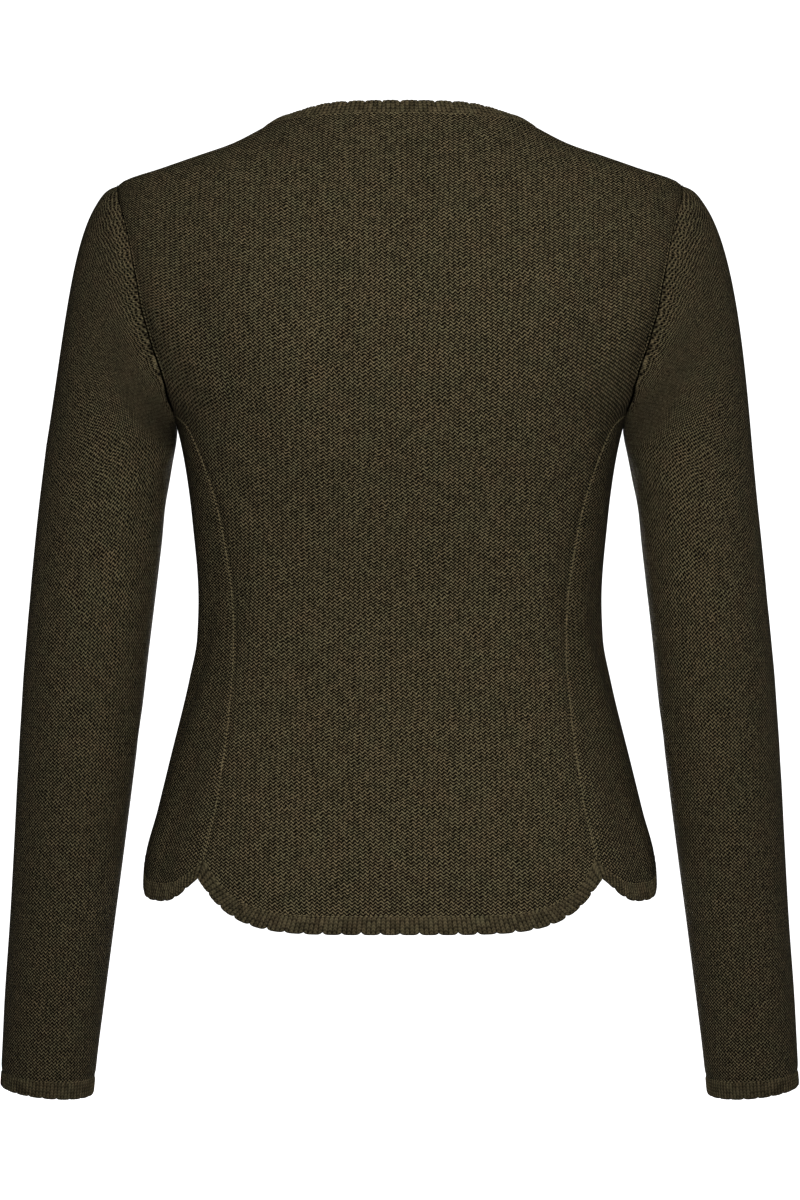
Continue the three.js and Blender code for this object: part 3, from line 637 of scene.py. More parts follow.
def back_panel(material):
    share = edge_shares(BACK_COLUMNS) * 2 - 1
    side = np.where(share < 0, -1.0, 1.0)
    place = np.abs(share)
    turns, heights = lower_rows(
        "back", lambda s: s, np.zeros_like, lambda z: seam_turn(z, True), place, UNDERARM
    )
    last = UNDERARM_STEP + SHOULDER_STEPS
    for step in np.linspace(0, last, BACK_TOP_ROWS + 1)[1:]:
        up = step / last
        if step <= UNDERARM_STEP:
            edge_z, edge_turn = armhole_at(UNDERARM_STEP - step)
        else:
            edge_z = lerp(ARMHOLE_TOP, NECK_SIDE, (step - UNDERARM_STEP) / SHOULDER_STEPS)
            edge_turn = 1.0
        centre = lerp(UNDERARM, NECK_BACK, up)
        heights.append(lerp(centre, edge_z, place ** lerp(2, NECK_CURVE, up)))
        turns.append(np.minimum(edge_turn, 1 - SHOULDER_CLEAR) * place)
    turns, heights = np.array(turns), np.array(heights)
    sides = np.broadcast_to(side, turns.shape)
    points = body_point(sides, turns, heights)
    near_arm = bell(heights[:, :1] - ARM_CREASE, ARM_CREASE_REACH)
    deep = SEAM_DIP + ARM_CREASE_DEPTH * near_arm
    points = seam_dip(points, deep, SEAM_REACH + ARM_CREASE_WIDTH * near_arm)
    u = sides * turns * quarter_length(heights, True)
    v = cloth_height(heights)
    v = v + shoulder_run(points, v) - row_rise(heights) * u ** 2
    knit_panel("back", points, u, v, material, outward_of)


def side_panel(hand, side, behind, material):
    share = edge_shares(SIDE_COLUMNS)
    start = (lambda z: seam_turn(z, behind))
    turns, heights = lower_rows("side", lambda s: 2 * s - 1, start, np.ones_like, share, SIDE_LEVEL)
    arc = lerp(UNDERARM, ARMHOLE_BOTTOM, np.sin(share * math.pi / 2))
    for h in np.linspace(0, 1, SIDE_TOP_ROWS + 1)[1:]:
        turns.append(lerp(start(lerp(SIDE_LEVEL, UNDERARM, h)), 1.0, share))
        heights.append(lerp(SIDE_LEVEL, arc, h))
    turns, heights = np.array(turns), np.array(heights)
    if behind:
        turns = np.minimum(turns, 1 - SIDE_CLEAR)
    else:
        turns = np.maximum(turns, 1 + SIDE_CLEAR)
    points = seam_dip(body_point(side, turns, heights))
    middle = (start(heights) + 1) / 2
    u = (turns - middle) * quarter_length(heights, behind)
    node = f"side_{'back' if behind else 'front'}_{hand}"
    knit_panel(node, points, u, cloth_height(heights), material, outward_of)


FRONT_EDGE = FRONT_BAND / 2 + SEAM_GAP
NECK_START = math.degrees(math.asin(FRONT_EDGE / NECK_HALF))
# Steps of the armhole below the front neckline
PLAIN_ROWS = 5


def neckline_front(angle):
    """The front neckline by its angle from the centre front, in degrees."""
    z = lerp(0, NECK_FRONT, np.cos(np.radians(angle))) + NECK_SIDE
    return z, turn_at_x(z, False, NECK_HALF * np.sin(np.radians(angle)))


def front_panel(hand, side, material):
    share = edge_shares(FRONT_COLUMNS)
    start = (lambda z: seam_turn(z, False))
    end = (lambda z: turn_at_x(z, False, FRONT_EDGE))
    turns, heights = lower_rows("front", lambda s: 1 - s, start, end, share, UNDERARM)
    for step in np.linspace(0, UNDERARM_STEP, FRONT_TOP_ROWS + 1)[1:]:
        arm_z, arm_turn = armhole_at(ARMHOLE_STEPS - (UNDERARM_STEP - step))
        on_neck = (step - PLAIN_ROWS) / (UNDERARM_STEP - PLAIN_ROWS)
        if on_neck > 0:
            inner_z, inner_turn = neckline_front(lerp(NECK_START, 90, on_neck))
        else:
            inner_z = lerp(UNDERARM, neckline_front(NECK_START)[0], step / PLAIN_ROWS)
            inner_turn = end(inner_z)
        heights.append(lerp(arm_z, inner_z, share))
        at_top = step == UNDERARM_STEP
        turn = np.zeros_like(share) if at_top else lerp(arm_turn, inner_turn, share)
        turns.append(np.maximum(turn, 1 + SHOULDER_CLEAR))
    turns, heights = np.array(turns), np.array(heights)
    points = seam_dip(body_point(side, turns, heights))
    u = side * (2 - turns) * quarter_length(heights, False)
    v = cloth_height(heights)
    knit_panel(f"front_{hand}", points, u, v + shoulder_run(points, v), material, outward_of)


# Sleeves

arm_x = curve(ARM, "x")
arm_y = curve(ARM, "y")
arm_widest = curve(ARM, "half")
arm_depth = curve(ARM, "depth")
arm_slim = curve(ARM, "slim")

# Soft folds of a sleeve: angle from its outer side, height, half length, half width, depth, lean
SLEEVE_FOLDS = [
    (3.14, -202, 18, 18, -1.7, 0.0),
    (2.3, -205, 34, 13, 1.8, 0.5),
    (2.7, -240, 30, 11, 1.2, 0.55),
    (3.9, -212, 36, 13, 1.7, -0.5),
    (3.5, -262, 32, 11, 1.1, -0.5),
    (1.1, -330, 30, 15, -0.8, 0.7),
    (4.9, -352, 26, 12, 1.3, 0.9),
    (4.3, -372, 26, 12, 1.5, 0.8),
    (5.3, -392, 22, 11, 1.0, -0.7),
    (2.9, -404, 40, 12, -0.9, 0.3),
    (1.6, -470, 50, 14, -0.7, 0.3),
    (0.6, -560, 50, 13, 0.8, -0.2),
    (3.8, -585, 40, 12, 1.0, 0.3),
    (2.2, -600, 36, 11, 0.8, -0.3),
]


SLEEVE_COLUMNS = 112
CAP_ROWS = 47
CAP_CROWDING = 1.25
ARM_ROWS = 141
# About how long a radian is round the sleeve
SLEEVE_ROUND = 38
INNER_ROUND = 36
# How far the rows of stitches drop at the inner side, around which height
ROW_DROP = 46
ROW_DROP_HEIGHT = -150
ROW_DROP_REACH = 150
# How deep the sleeve sinks, and how wide: beside its head, on its outer side, at its cuff and inner seam
HEAD_DIP = 1.1
HEAD_DIP_OUTER = 0.3
HEAD_DIP_REACH = 4.5
CUFF_DIP = 0.6
CUFF_DIP_REACH = 2.4
INNER_DIP = 0.7
INNER_DIP_REACH = 2.0
# The soft swelling below the head: how high, how far from the armhole, how wide
HEAD_PUFF = 0.6
HEAD_PUFF_PLACE = 9
HEAD_PUFF_REACH = 7


def arm_half(side, z):
    return arm_widest(z) - (arm_slim(z) if side < 0 else 0)


def arm_centre(side, z):
    return np.stack([side * arm_x(z), arm_y(z), z + 0 * arm_x(z)], -1)


def arm_point(side, z, angle):
    z, angle = np.broadcast_arrays(np.asarray(z, float), np.asarray(angle, float))
    down = unit(arm_centre(side, z - 2) - arm_centre(side, z + 2))
    outward = unit(np.array([side, 0.0, 0.0]) - side * down * down[..., :1])
    backward = unit(np.array([0.0, 1.0, 0.0]) - down * down[..., 1:2])
    return (
        arm_centre(side, z)
        + outward * (arm_half(side, z) * np.cos(angle))[..., None]
        + backward * (arm_depth(z) * np.sin(angle))[..., None]
    )


def armhole_edge(side, step):
    z, turn = armhole_at(step)
    point = body_point(side, turn, z, folds=False)
    normal = body_normal(side, turn, z, folds=False)
    middle = body_point(side, 1.0, (ARMHOLE_TOP + ARMHOLE_BOTTOM) / 2, folds=False)
    z0, t0 = armhole_at(np.asarray(step) - 1.0)
    z1, t1 = armhole_at(np.asarray(step) + 1.0)
    along = body_point(side, t1, z1, folds=False) - body_point(side, t0, z0, folds=False)
    inward = unit(np.cross(along, normal))
    turned = np.sign(np.sum(inward * (middle - point), -1, keepdims=True))
    return point + normal * SEAM_GAP + inward * turned * SEAM_GAP


cap_out = curve(CAP, "out")
cap_back = curve(CAP, "back")
cap_down = curve(CAP, "down")
cap_leave = curve(CAP, "leave")
cap_arrive = curve(CAP, "arrive")


def cap_point(side, step, share):
    turn = step / ARMHOLE_STEPS * 4
    angle = step / ARMHOLE_STEPS * 2 * math.pi
    start = armhole_edge(side, step)
    end = arm_point(side, ARM_TOP, angle)
    leaving = unit(np.stack([side * cap_out(turn), cap_back(turn), -cap_down(turn)], -1))
    arriving = unit(arm_point(side, ARM_TOP - 4, angle) - end)
    first = start + leaving * cap_leave(turn)[..., None]
    second = end - arriving * cap_arrive(turn)[..., None]
    t = share[..., None]
    return (
        (1 - t) ** 3 * start
        + 3 * (1 - t) ** 2 * t * first
        + 3 * (1 - t) * t * t * second
        + t ** 3 * end
    )


def sleeve_dent(points, angles, run):
    """How deep the sleeve's surface sinks: its folds, its armhole seam, its cuff and its inner seam."""
    dent = np.zeros(points.shape[:2])
    for place, height, long, wide, deep, lean in SLEEVE_FOLDS:
        along = (points[..., 2] - height) / long
        away = (angles - place - lean * along + math.pi) % (2 * math.pi) - math.pi
        dent += deep * bell(away * SLEEVE_ROUND, wide) * bell(along, 1)
    outer = 0.5 + 0.5 * np.cos(angles)
    sunk = HEAD_DIP_OUTER * outer + HEAD_DIP * np.sin(angles) ** 2
    dent += sunk * bell(run, HEAD_DIP_REACH)
    dent -= HEAD_PUFF * bell(run - HEAD_PUFF_PLACE, HEAD_PUFF_REACH) * outer
    dent += CUFF_DIP * bell(run[-1] - run, CUFF_DIP_REACH)
    dent += INNER_DIP * bell((angles - math.pi) * INNER_ROUND, INNER_DIP_REACH)
    return dent


def cut_open(field):
    """A tube's columns, cut along its inner line, whose first column comes again at the end."""
    half = SLEEVE_COLUMNS // 2
    return np.concatenate([field[:, half:], field[:, : half + 1]], 1)


def sleeve(hand, side, material):
    steps = np.arange(SLEEVE_COLUMNS) / SLEEVE_COLUMNS * ARMHOLE_STEPS
    cap_shares = np.linspace(0, 1, CAP_ROWS + 1)[:-1] ** CAP_CROWDING
    share, step = np.meshgrid(cap_shares, steps, indexing="ij")
    cap = cap_point(side, step, share)
    heights = lerp(ARM_TOP, CUFF_SEAM, np.linspace(0, 1, ARM_ROWS))
    z, angle = np.meshgrid(heights, steps / ARMHOLE_STEPS * 2 * math.pi, indexing="ij")
    points = np.concatenate([cap, arm_point(side, z, angle)])
    angles = np.concatenate([angle[:1].repeat(len(cap), 0), angle])
    outward = (lambda point: np.array([side, 0.0, 0.0]))
    run = np.cumsum(np.linalg.norm(np.diff(points, axis=0, prepend=points[:1]), axis=-1), 0)
    level = run[len(cap)] - run + ARM_TOP
    drop = ROW_DROP * bell(points[..., 2] - ROW_DROP_HEIGHT, ROW_DROP_REACH)
    v = cut_open(level - drop * (1 - np.cos(angles)) / 2)
    # Stitches are as wide as on the cloth without its folds
    smooth = cut_open(points)
    u = np.cumsum(np.linalg.norm(np.diff(smooth, axis=1, prepend=smooth[:, :1]), axis=-1), 1)
    u = u - u[:, SLEEVE_COLUMNS // 2][:, None]
    normals, _ = outer_normals(smooth[:, :-1], outward, around=True)
    normals = np.concatenate([normals, normals[:, :1]], 1)
    dent = cut_open(sleeve_dent(points, angles, run))
    points = smooth - normals * dent[..., None]
    knit_panel(f"sleeve_{hand}", points, u, v, material, outward, tube=True)


# Bands

COLUMNS_PER_RIB = 8
COLUMNS_PER_SCALLOP = RIBS_PER_SCALLOP * COLUMNS_PER_RIB
SCALLOP_POWER = 4.5
# How deep the scallops of each band are, as a share of the full depth
SCALLOPS = {"hem": 1.0, "neck": 0.95, "cuff": 0.5}

# A band's section: share from the root, how much of the rib shows, how far it lies inwards
BAND_OUTSIDE = [
    (-0.1, 0, 1.3),
    (0.0, 0.25, 0.8),
    (0.06, 0.6, 0.3),
    (0.14, 0.9, 0.0),
    (0.5, 1, 0.0),
    (0.7, 1, 0.0),
    (0.86, 0.95, 0.05),
    (0.95, 0.8, 0.3),
    (0.99, 0.45, 0.75),
    (1.0, 0.1, 1.2),
]
BAND_INSIDE = [(0.985, 0, 1.75), (0.93, 0, 2.0), (0.5, -0.4, 2.0), (-0.1, 0, 2.0)]
# The first gaps of the section, which surely face outwards
OUTER_GAPS = 6


def scallop_shares(line, scallop):
    """Shares of a line of points that cut it into whole scallops with even columns."""
    reach = reach_along(line)
    pieces = int(round(reach[-1] / scallop)) * COLUMNS_PER_SCALLOP
    return np.interp(np.linspace(0, reach[-1], pieces + 1), reach, np.linspace(0, 1, len(line)))


def band_mesh(name, root, tip, root_normal, tip_normal, scallop, height, material, around=False):
    """A ribbed band: each column is a closed loop over the outside, the edge and the inside."""
    count = len(root)
    k = np.arange(count)
    phase = k % COLUMNS_PER_SCALLOP / COLUMNS_PER_SCALLOP
    rib_phase = k % COLUMNS_PER_RIB / COLUMNS_PER_RIB
    rib = (0.5 - 0.5 * np.cos(2 * math.pi * rib_phase)) ** 0.75 * 1.05
    number = np.floor((k + COLUMNS_PER_SCALLOP / 2) / COLUMNS_PER_SCALLOP)
    uneven = 0.88 + 0.2 * np.sin(number * 2.4) + 0.12 * np.sin(number * 5.1 + 1)
    pull = SCALLOP_DEPTH * scallop * uneven * np.abs(2 * phase - 1) ** SCALLOP_POWER
    tip = tip - unit(tip - root) * pull[:, None]
    section = BAND_OUTSIDE + BAND_INSIDE
    rows = []
    for along, show, sunk in section:
        normal = unit(lerp(root_normal, tip_normal, along))
        lift = RIB_HEIGHT * rib * show - sunk
        rows.append(lerp(root, tip, along) + normal * lift[:, None])
    points = np.array(rows).reshape(-1, 3)
    loops = len(rows)
    gaps = count if around else count - 1
    i, j = np.meshgrid(np.arange(loops), np.arange(gaps), indexing="ij")
    n, m = (i + 1) % loops * count, (j + 1) % count
    faces = np.stack([i * count + j, n + j, n + m, i * count + m], -1).reshape(-1, 4)
    a, b, c = (points[faces[: gaps * OUTER_GAPS, corner]] for corner in range(3))
    wanted = unit(lerp(root_normal, tip_normal, 0.5))[np.tile(np.arange(gaps), OUTER_GAPS)]
    flip = float(np.sum(np.cross(b - a, c - a) * wanted)) < 0
    all_faces = (faces[:, ::-1] if flip else faces).tolist()
    if not around:
        first = [i * count for i in range(loops)]
        last = [i * count + count - 1 for i in range(loops)]
        all_faces += [first if flip else first[::-1], last[::-1] if flip else last]
    u = np.tile(k / COLUMNS_PER_RIB, loops)
    v = np.repeat([along * height for along, _, _ in section], count)
    obj = make_object(name, points, all_faces, material, np.stack([u, v], -1))
    return obj


def declare_band(root, tip):
    wide = float(np.linalg.norm(tip - root, axis=1).mean()) * MM


# How far the ribs lean near a notch, and the points of the lines that are cut into scallops
RIB_LEAN = 0.05
LINE_POINTS = 401
NECK_FRONT_POINTS = 160
NECK_BACK_POINTS = 120


def hem_lobe(side, lobe, across, start, end):
    """Roots and tips of one lobe of the hem band, with ribs square to the free edge."""

    def edge_at(share):
        return lerp(start(NOTCH), end(NOTCH), share), lobe_edge(lobe, across(share))

    line = body_point(side, *edge_at(np.linspace(0, 1, LINE_POINTS)))
    share = scallop_shares(line, HEM_SCALLOP)
    turns, heights = edge_at(share)
    tip = body_point(side, turns, heights)
    tip_normal = body_normal(side, turns, heights)
    place = across(share)
    lean = RIB_LEAN * np.sin(math.pi * np.abs(place) ** (LOBES[lobe][1] - 0.5))
    outwards = np.sign(place) * np.sign(across(1.0) - across(0.0))
    at = np.clip(share - lean * outwards, 0, 1)
    root_turn = lerp(start(BAND_NOTCH), end(BAND_NOTCH), at)
    root_z = lobe_seam(lobe, across(at)) - SEAM_GAP
    root = body_point(side, root_turn, root_z)
    root_normal = body_normal(side, root_turn, root_z)
    return [root, tip, root_normal, tip_normal]


def join_columns(pieces):
    joined = []
    for field in range(4):
        parts = [piece[field] if i == 0 else piece[field][1:] for i, piece in enumerate(pieces)]
        joined.append(np.concatenate(parts))
    return joined


def reversed_columns(piece):
    return [field[::-1] for field in piece]


def level_turn(turn):
    return lambda z: turn + 0 * np.asarray(z, float)


def hem_side(side):
    whole = (lambda s: 2 * s - 1)
    front_edge = (lambda z: turn_at_x(z, False, FRONT_EDGE))
    front_seam = (lambda z: seam_turn(z, False))
    back_seam = (lambda z: seam_turn(z, True))
    return [
        hem_lobe(side, "front", lambda s: s, front_edge, front_seam),
        hem_lobe(side, "side", whole, front_seam, level_turn(1 + SIDE_CLEAR / 2)),
        hem_lobe(side, "side", whole, level_turn(1.0), back_seam),
    ]


def hem_back(side):
    return hem_lobe(side, "back", lambda s: s, level_turn(0.0), lambda z: seam_turn(z, True))


def hem_band(material):
    pieces = [
        *hem_side(1.0),
        reversed_columns(hem_back(1.0)),
        hem_back(-1.0),
        *[reversed_columns(piece) for piece in hem_side(-1.0)[::-1]],
    ]
    root, tip, root_normal, tip_normal = join_columns(pieces)
    obj = band_mesh("hem_rib", root, tip, root_normal, tip_normal, SCALLOPS["hem"], HEM_BAND, material)
    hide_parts("hem_band")
    declare_band(root, tip)
    return root, root_normal


def neck_line():
    """The line that the front and back panels end in, from the left front to the right front."""
    angle = np.linspace(NECK_START, 90, NECK_FRONT_POINTS)
    z, turn = neckline_front(angle)
    turn = np.maximum(turn, 1 + SHOULDER_CLEAR)
    left = body_point(1.0, turn, z)
    left_normal = body_normal(1.0, turn, z)
    place = np.linspace(1 - SHOULDER_CLEAR, 0, NECK_BACK_POINTS)
    heights = lerp(NECK_BACK, NECK_SIDE, place ** NECK_CURVE)
    back = body_point(1.0, place, heights)
    back_normal = body_normal(1.0, place, heights)
    half = np.concatenate([left, back])
    half_normal = np.concatenate([left_normal, back_normal])
    mirror = np.array([-1.0, 1.0, 1.0])
    line = np.concatenate([half, half[-2::-1] * mirror])
    normal = np.concatenate([half_normal, half_normal[-2::-1] * mirror])
    return line, normal


def neckband(material):
    line, normal = neck_line()
    index = scallop_shares(line, NECK_SCALLOP) * (len(line) - 1)
    known = np.arange(len(line))
    point = points_at(index, known, line)
    root_normal = unit(points_at(index, known, normal))
    lean = curve(NECK_LEAN, "inward")(np.arctan2(np.abs(point[:, 0]), point[:, 1]) / (math.pi / 2))
    flat = point * np.array([1.0, 1.0, 0.0])
    inward = -unit(flat)
    rise = inward * lean[:, None] + np.array([0.0, 0.0, 1.0]) * np.sqrt(1 - lean ** 2)[:, None]
    around = unit(np.stack([-point[:, 1], point[:, 0], 0 * lean], -1))
    tip_normal = unit(np.cross(around, rise))
    tip_normal *= np.sign(np.sum(tip_normal * flat, -1, keepdims=True))
    root = point + rise * SEAM_GAP
    tip = root + rise * NECK_BAND
    for end in (root, tip):
        nearest = np.minimum(FRONT_EDGE, np.abs(point[:, 0]))
        close = np.abs(end[:, 0]) < nearest
        end[close, 0] = (np.sign(point[:, 0]) * nearest)[close]
    depth = SCALLOPS["neck"]
    obj = band_mesh("neck_rib", root, tip, root_normal, tip_normal, depth, NECK_BAND, material)
    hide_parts("neckband")
    declare_band(root, tip)
    return root, root_normal


# How far a cuff lies inside the sleeve's form, and how much it rises on its outer side
CUFF_INSET = 0.7
CUFF_RISE = 2.2


def cuff(hand, side, material):
    radius = (arm_half(side, CUFF_SEAM) + arm_depth(CUFF_SEAM)) / 2
    scallops = int(round(2 * math.pi * radius / CUFF_SCALLOP))
    count = scallops * COLUMNS_PER_SCALLOP
    angle = np.arange(count) / count * 2 * math.pi
    root_z = CUFF_SEAM - SEAM_GAP
    root = arm_point(side, root_z, angle)
    tip = arm_point(side, root_z - CUFF_BAND, angle)
    tip[:, 2] += CUFF_RISE * (0.55 + 0.45 * np.cos(angle))
    around = arm_point(side, root_z, angle + 0.02) - root
    normal = unit(np.cross(around, tip - root))
    outward = root - arm_centre(side, np.array(root_z))
    normal *= np.sign(np.sum(normal * outward, -1, keepdims=True))
    root = root - normal * CUFF_INSET
    tip = tip - normal * CUFF_INSET
    name = f"cuff_{hand}_rib"
    depth = SCALLOPS["cuff"]
    obj = band_mesh(name, root, tip, normal, normal, depth, CUFF_BAND, material, around=True)
    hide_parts(f"cuff_{hand}")
    declare_band(root, tip)
    return root, normal


# Front bands and buttons

BAND_TOP = NECK_FRONT + NECK_BAND * math.sqrt(1 - 0.3 ** 2) + NECK_SIDE
BAND_FOOT = NOTCH - LOBES["front"][0]
# The foot spreads a little, so that it closes against the hem band
FOOT_SPREAD = 0.055
FOOT_REACH = 14
BAND_RIB = 3.1
BAND_RIB_HEIGHT = 0.35
# How much of the ribs shows on the wearer's left band, which lies under the other
HIDDEN_RIBS = 0.4
EDGE_ROUNDING = 0.6
EDGE_REACH = 1.0
RIB_EDGE_REACH = 1.4
BAND_ROWS = 181
BAND_COLUMNS = 57
# The wall under the ribs is this much thinner than the band
RIB_ROOM = 0.45
LAYERS = {"right": 0.3, "left": -(BAND_CLOTH + SEAM_GAP)}


def front_band(hand, material):
    heights = np.linspace(BAND_FOOT, BAND_TOP, BAND_ROWS)
    across = np.linspace(-FRONT_BAND / 2, FRONT_BAND / 2, BAND_COLUMNS)
    z, x = np.meshgrid(heights, across, indexing="ij")
    x = x * (1 + FOOT_SPREAD * bell(z - BAND_FOOT, FOOT_REACH))
    side = np.where(x < 0, -1.0, 1.0)
    points = body_point(side, turn_at_x(z, False, np.abs(x)), z)
    normals, _ = outer_normals(points, outward_of)
    edge = FRONT_BAND / 2 - np.abs(x)
    ends = np.minimum(z - BAND_FOOT, BAND_TOP - z)
    rounding = EDGE_ROUNDING * (bell(edge, EDGE_REACH) + bell(ends, EDGE_REACH))
    ribs = BAND_RIB_HEIGHT * np.cos(2 * math.pi * x / BAND_RIB) * (1 - bell(edge, RIB_EDGE_REACH))
    if hand == "left":
        ribs = ribs * HIDDEN_RIBS
    points = points + normals * (LAYERS[hand] + ribs - rounding)[..., None]
    knit = np.stack([x / BAND_RIB + 0.5, z], -1)
    name = f"front_band_{hand}"
    obj = shell(f"{name}_rib", points, knit, material, BAND_CLOTH - RIB_ROOM, outward_of)
    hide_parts(name)
    declare(points)


def revolve(profile, sides):
    """Points and faces of a turned shape whose profile starts and ends on its axis."""
    angle = np.arange(sides) / sides * 2 * math.pi
    circle = np.stack([np.cos(angle), np.sin(angle), 0 * angle], -1)
    rings = [circle * r + np.array([0, 0, h]) for r, h in profile[1:-1]]
    points = np.concatenate([[[0, 0, profile[0][1]]], *rings, [[0, 0, profile[-1][1]]]])
    faces = []
    for j in range(sides):
        k = (j + 1) % sides
        faces.append([0, 1 + k, 1 + j])
        for i in range(len(rings) - 1):
            a, b = 1 + i * sides, 1 + (i + 1) * sides
            faces.append([a + j, a + k, b + k, b + j])
        last = 1 + (len(rings) - 1) * sides
        faces.append([last + j, last + k, len(points) - 1])
    return points, faces


# A button's outline: distance in from its rim, and height. It starts and ends on the axis.
BUTTON_OUTLINE = [
    (BUTTON_RADIUS, 0.15),
    (1.4, 0),
    (0.7, 0.05),
    (0.2, 0.4),
    (0, 1.0),
    (0.1, 1.6),
    (0.5, 2.0),
    (0.95, 2.0),
    (1.35, 1.72),
    (1.7, 1.66),
    (2.2, 1.95),
    (3.1, 2.45),
    (4.3, 2.92),
    (5.6, 3.24),
    (6.8, 3.38),
    (BUTTON_RADIUS, BUTTON_DOME),
]
BUTTON_SIDES = 64
# A button of the scene may stand this far outside the box of its solid
BUTTON_PLAY = 1.5


def buttons(material):
    points, faces = revolve([(BUTTON_RADIUS - r, h) for r, h in BUTTON_OUTLINE], BUTTON_SIDES)
    upright = np.array([0.0, 1.0, 1.0])
    across = np.array([1.0, 0.0, 0.0])
    for number in range(1, BUTTON_COUNT + 1):
        low, high = (np.array(corner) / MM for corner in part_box(f"button_{number}"))
        z = lerp(BUTTON_FIRST, BUTTON_LAST, (number - 1) / (BUTTON_COUNT - 1))
        normal = unit(body_normal(1.0, 2.0 - 1e-6, z, folds=False) * upright)
        up = np.cross(normal, across)
        base = body_point(1.0, 2.0, z, folds=False) * upright
        base = base + normal * (LAYERS["right"] + SEAM_GAP)
        placed = base + points @ np.stack([across, up, normal])
        assert np.all(placed.min(0) > low - BUTTON_PLAY)
        assert np.all(placed.max(0) < high + BUTTON_PLAY)
        obj = make_object(f"button_{number}_metal", placed, faces, material)
        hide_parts(f"button_{number}")


# Seam stitches

LINK_AROUND = 6
LINK_ALONG = 5
# Half the length over which a stitch takes the direction of its line
LINK_AIM = 0.8
# Half a stitch's length as a share of the pitch, and how far its ends are drawn in
LINK_FILL = 0.36
LINK_TAPER = 0.93

# Stitches of each kind of seam: pitch, width, height, how far they sink, tilt
LINKS = {
    "panel": (2.65, 1.4, 1.2, 0.25, 0.5),
    "side": (2.5, 1.1, 0.9, 0.7, 0.3),
    "armhole": (2.4, 1.0, 0.9, 1.6, 0.3),
    "shoulder": (2.8, 1.3, 0.9, 0.3, 0.3),
    "band": (3.05, 1.05, 0.9, 0.3, 0.2),
}
# The panels' stitches lie this far off the seam, on the back or front panel
PANEL_LINK_SHIFT = 1.3
# The side seam takes its normals just behind the side line, where back and front meet
SIDE_NORMAL_TURN = 0.985
SEAM_POINTS = 240
ARMHOLE_POINTS = 400
SHOULDER_POINTS = 60


def link_chain(name, kind, line, normals, material, hand=1.0):
    """A row of small raised stitches along a line, as one mesh, tilted to the side of its hand."""
    pitch, width, height, sunk, tilt = LINKS[kind]
    line = line - normals * sunk
    reach = reach_along(line)
    count = int(reach[-1] / pitch)
    centres = (np.arange(count) + 0.5) * reach[-1] / count
    place = points_at(centres, reach, line)
    normal = unit(points_at(centres, reach, normals))
    along = unit(points_at(centres + LINK_AIM, reach, line) - points_at(centres - LINK_AIM, reach, line))
    across = unit(np.cross(normal, along))
    along = unit(along + across * tilt * hand)
    across = unit(np.cross(normal, along))
    s = np.linspace(-1, 1, LINK_ALONG)
    ring = np.arange(LINK_AROUND) / LINK_AROUND * 2 * math.pi
    girth = np.sqrt(1 - (s * LINK_TAPER) ** 2)
    stitch = np.stack([
        (s[:, None] + 0 * ring) * pitch * LINK_FILL,
        girth[:, None] * np.cos(ring) * width / 2,
        girth[:, None] * np.sin(ring) * height / 2,
    ], -1).reshape(-1, 3)
    points = (place[:, None] + stitch @ np.stack([along, across, normal], 1)).reshape(-1, 3)
    size = LINK_ALONG * LINK_AROUND
    base = grid_faces(LINK_ALONG, LINK_AROUND, around=True)
    faces = (base[None] + (np.arange(count) * size)[:, None, None]).reshape(-1, 4).tolist()
    for i in range(count):
        first = [i * size + j for j in range(LINK_AROUND)]
        last = [i * size + size - LINK_AROUND + j for j in range(LINK_AROUND)]
        faces += [first[::-1], last]
    obj = make_object(name, points, faces, material)


def seam_stitches(material, bands):
    z = np.linspace(BAND_NOTCH + 1, UNDERARM - 1, SEAM_POINTS)
    side_z = np.linspace(BAND_NOTCH + 1, ARMHOLE_BOTTOM - 1, SEAM_POINTS)
    step = np.linspace(0, ARMHOLE_STEPS, ARMHOLE_POINTS)
    arm_z, arm_turn = armhole_at(step)
    shoulder_z = np.linspace(ARMHOLE_TOP + 1, NECK_SIDE - 0.5, SHOULDER_POINTS)
    for hand, side in HANDS.items():
        for face, behind in (("back", True), ("front", False)):
            shift = PANEL_LINK_SHIFT / quarter_length(z, behind) * (1 if behind else -1)
            turn = seam_turn(z, behind) + shift
            line, normal = body_point(side, turn, z), body_normal(side, turn, z)
            link_chain(f"seam_{face}_{hand}", "panel", line, normal, material, side)
        line = body_point(side, 1 - SIDE_CLEAR / 2, side_z)
        normal = body_normal(side, SIDE_NORMAL_TURN, side_z)
        link_chain(f"seam_side_{hand}", "side", line, normal, material, side)
        outward = body_normal(side, arm_turn, arm_z, folds=False)
        link_chain(f"seam_armhole_{hand}", "armhole", armhole_edge(side, step), outward, material)
        line = body_point(side, 1.0, shoulder_z, folds=False)
        up = unit(np.gradient(line, axis=0)[:, [2, 1, 0]] * np.array([-side, 0.0, side]))
        up *= np.sign(up[:, 2:])
        link_chain(f"seam_shoulder_{hand}", "shoulder", line, up, material)
    for name, (line, normal) in bands.items():
        link_chain(name, "band", line, normal, material)


# Materials


class Wire:
    """A socket that can be added and multiplied, so that a height reads as one line."""

    def __init__(self, tree, socket):
        self.tree = tree
        self.socket = socket

    def math(self, operation, *others):
        node = self.tree.nodes.new("ShaderNodeMath")
        node.operation = operation
        for i, value in enumerate((self, *others)):
            if isinstance(value, Wire):
                self.tree.links.new(value.socket, node.inputs[i])
            else:
                node.inputs[i].default_value = value
        return Wire(self.tree, node.outputs[0])

    def __add__(self, other):
        return self.math("ADD", other)

    def __sub__(self, other):
        return self.math("SUBTRACT", other)

    def __mul__(self, other):
        return self.math("MULTIPLY", other)

    def __truediv__(self, other):
        return self.math("DIVIDE", other)

    def clamp(self):
        node = self.tree.nodes.new("ShaderNodeClamp")
        self.tree.links.new(self.socket, node.inputs[0])
        return Wire(self.tree, node.outputs[0])


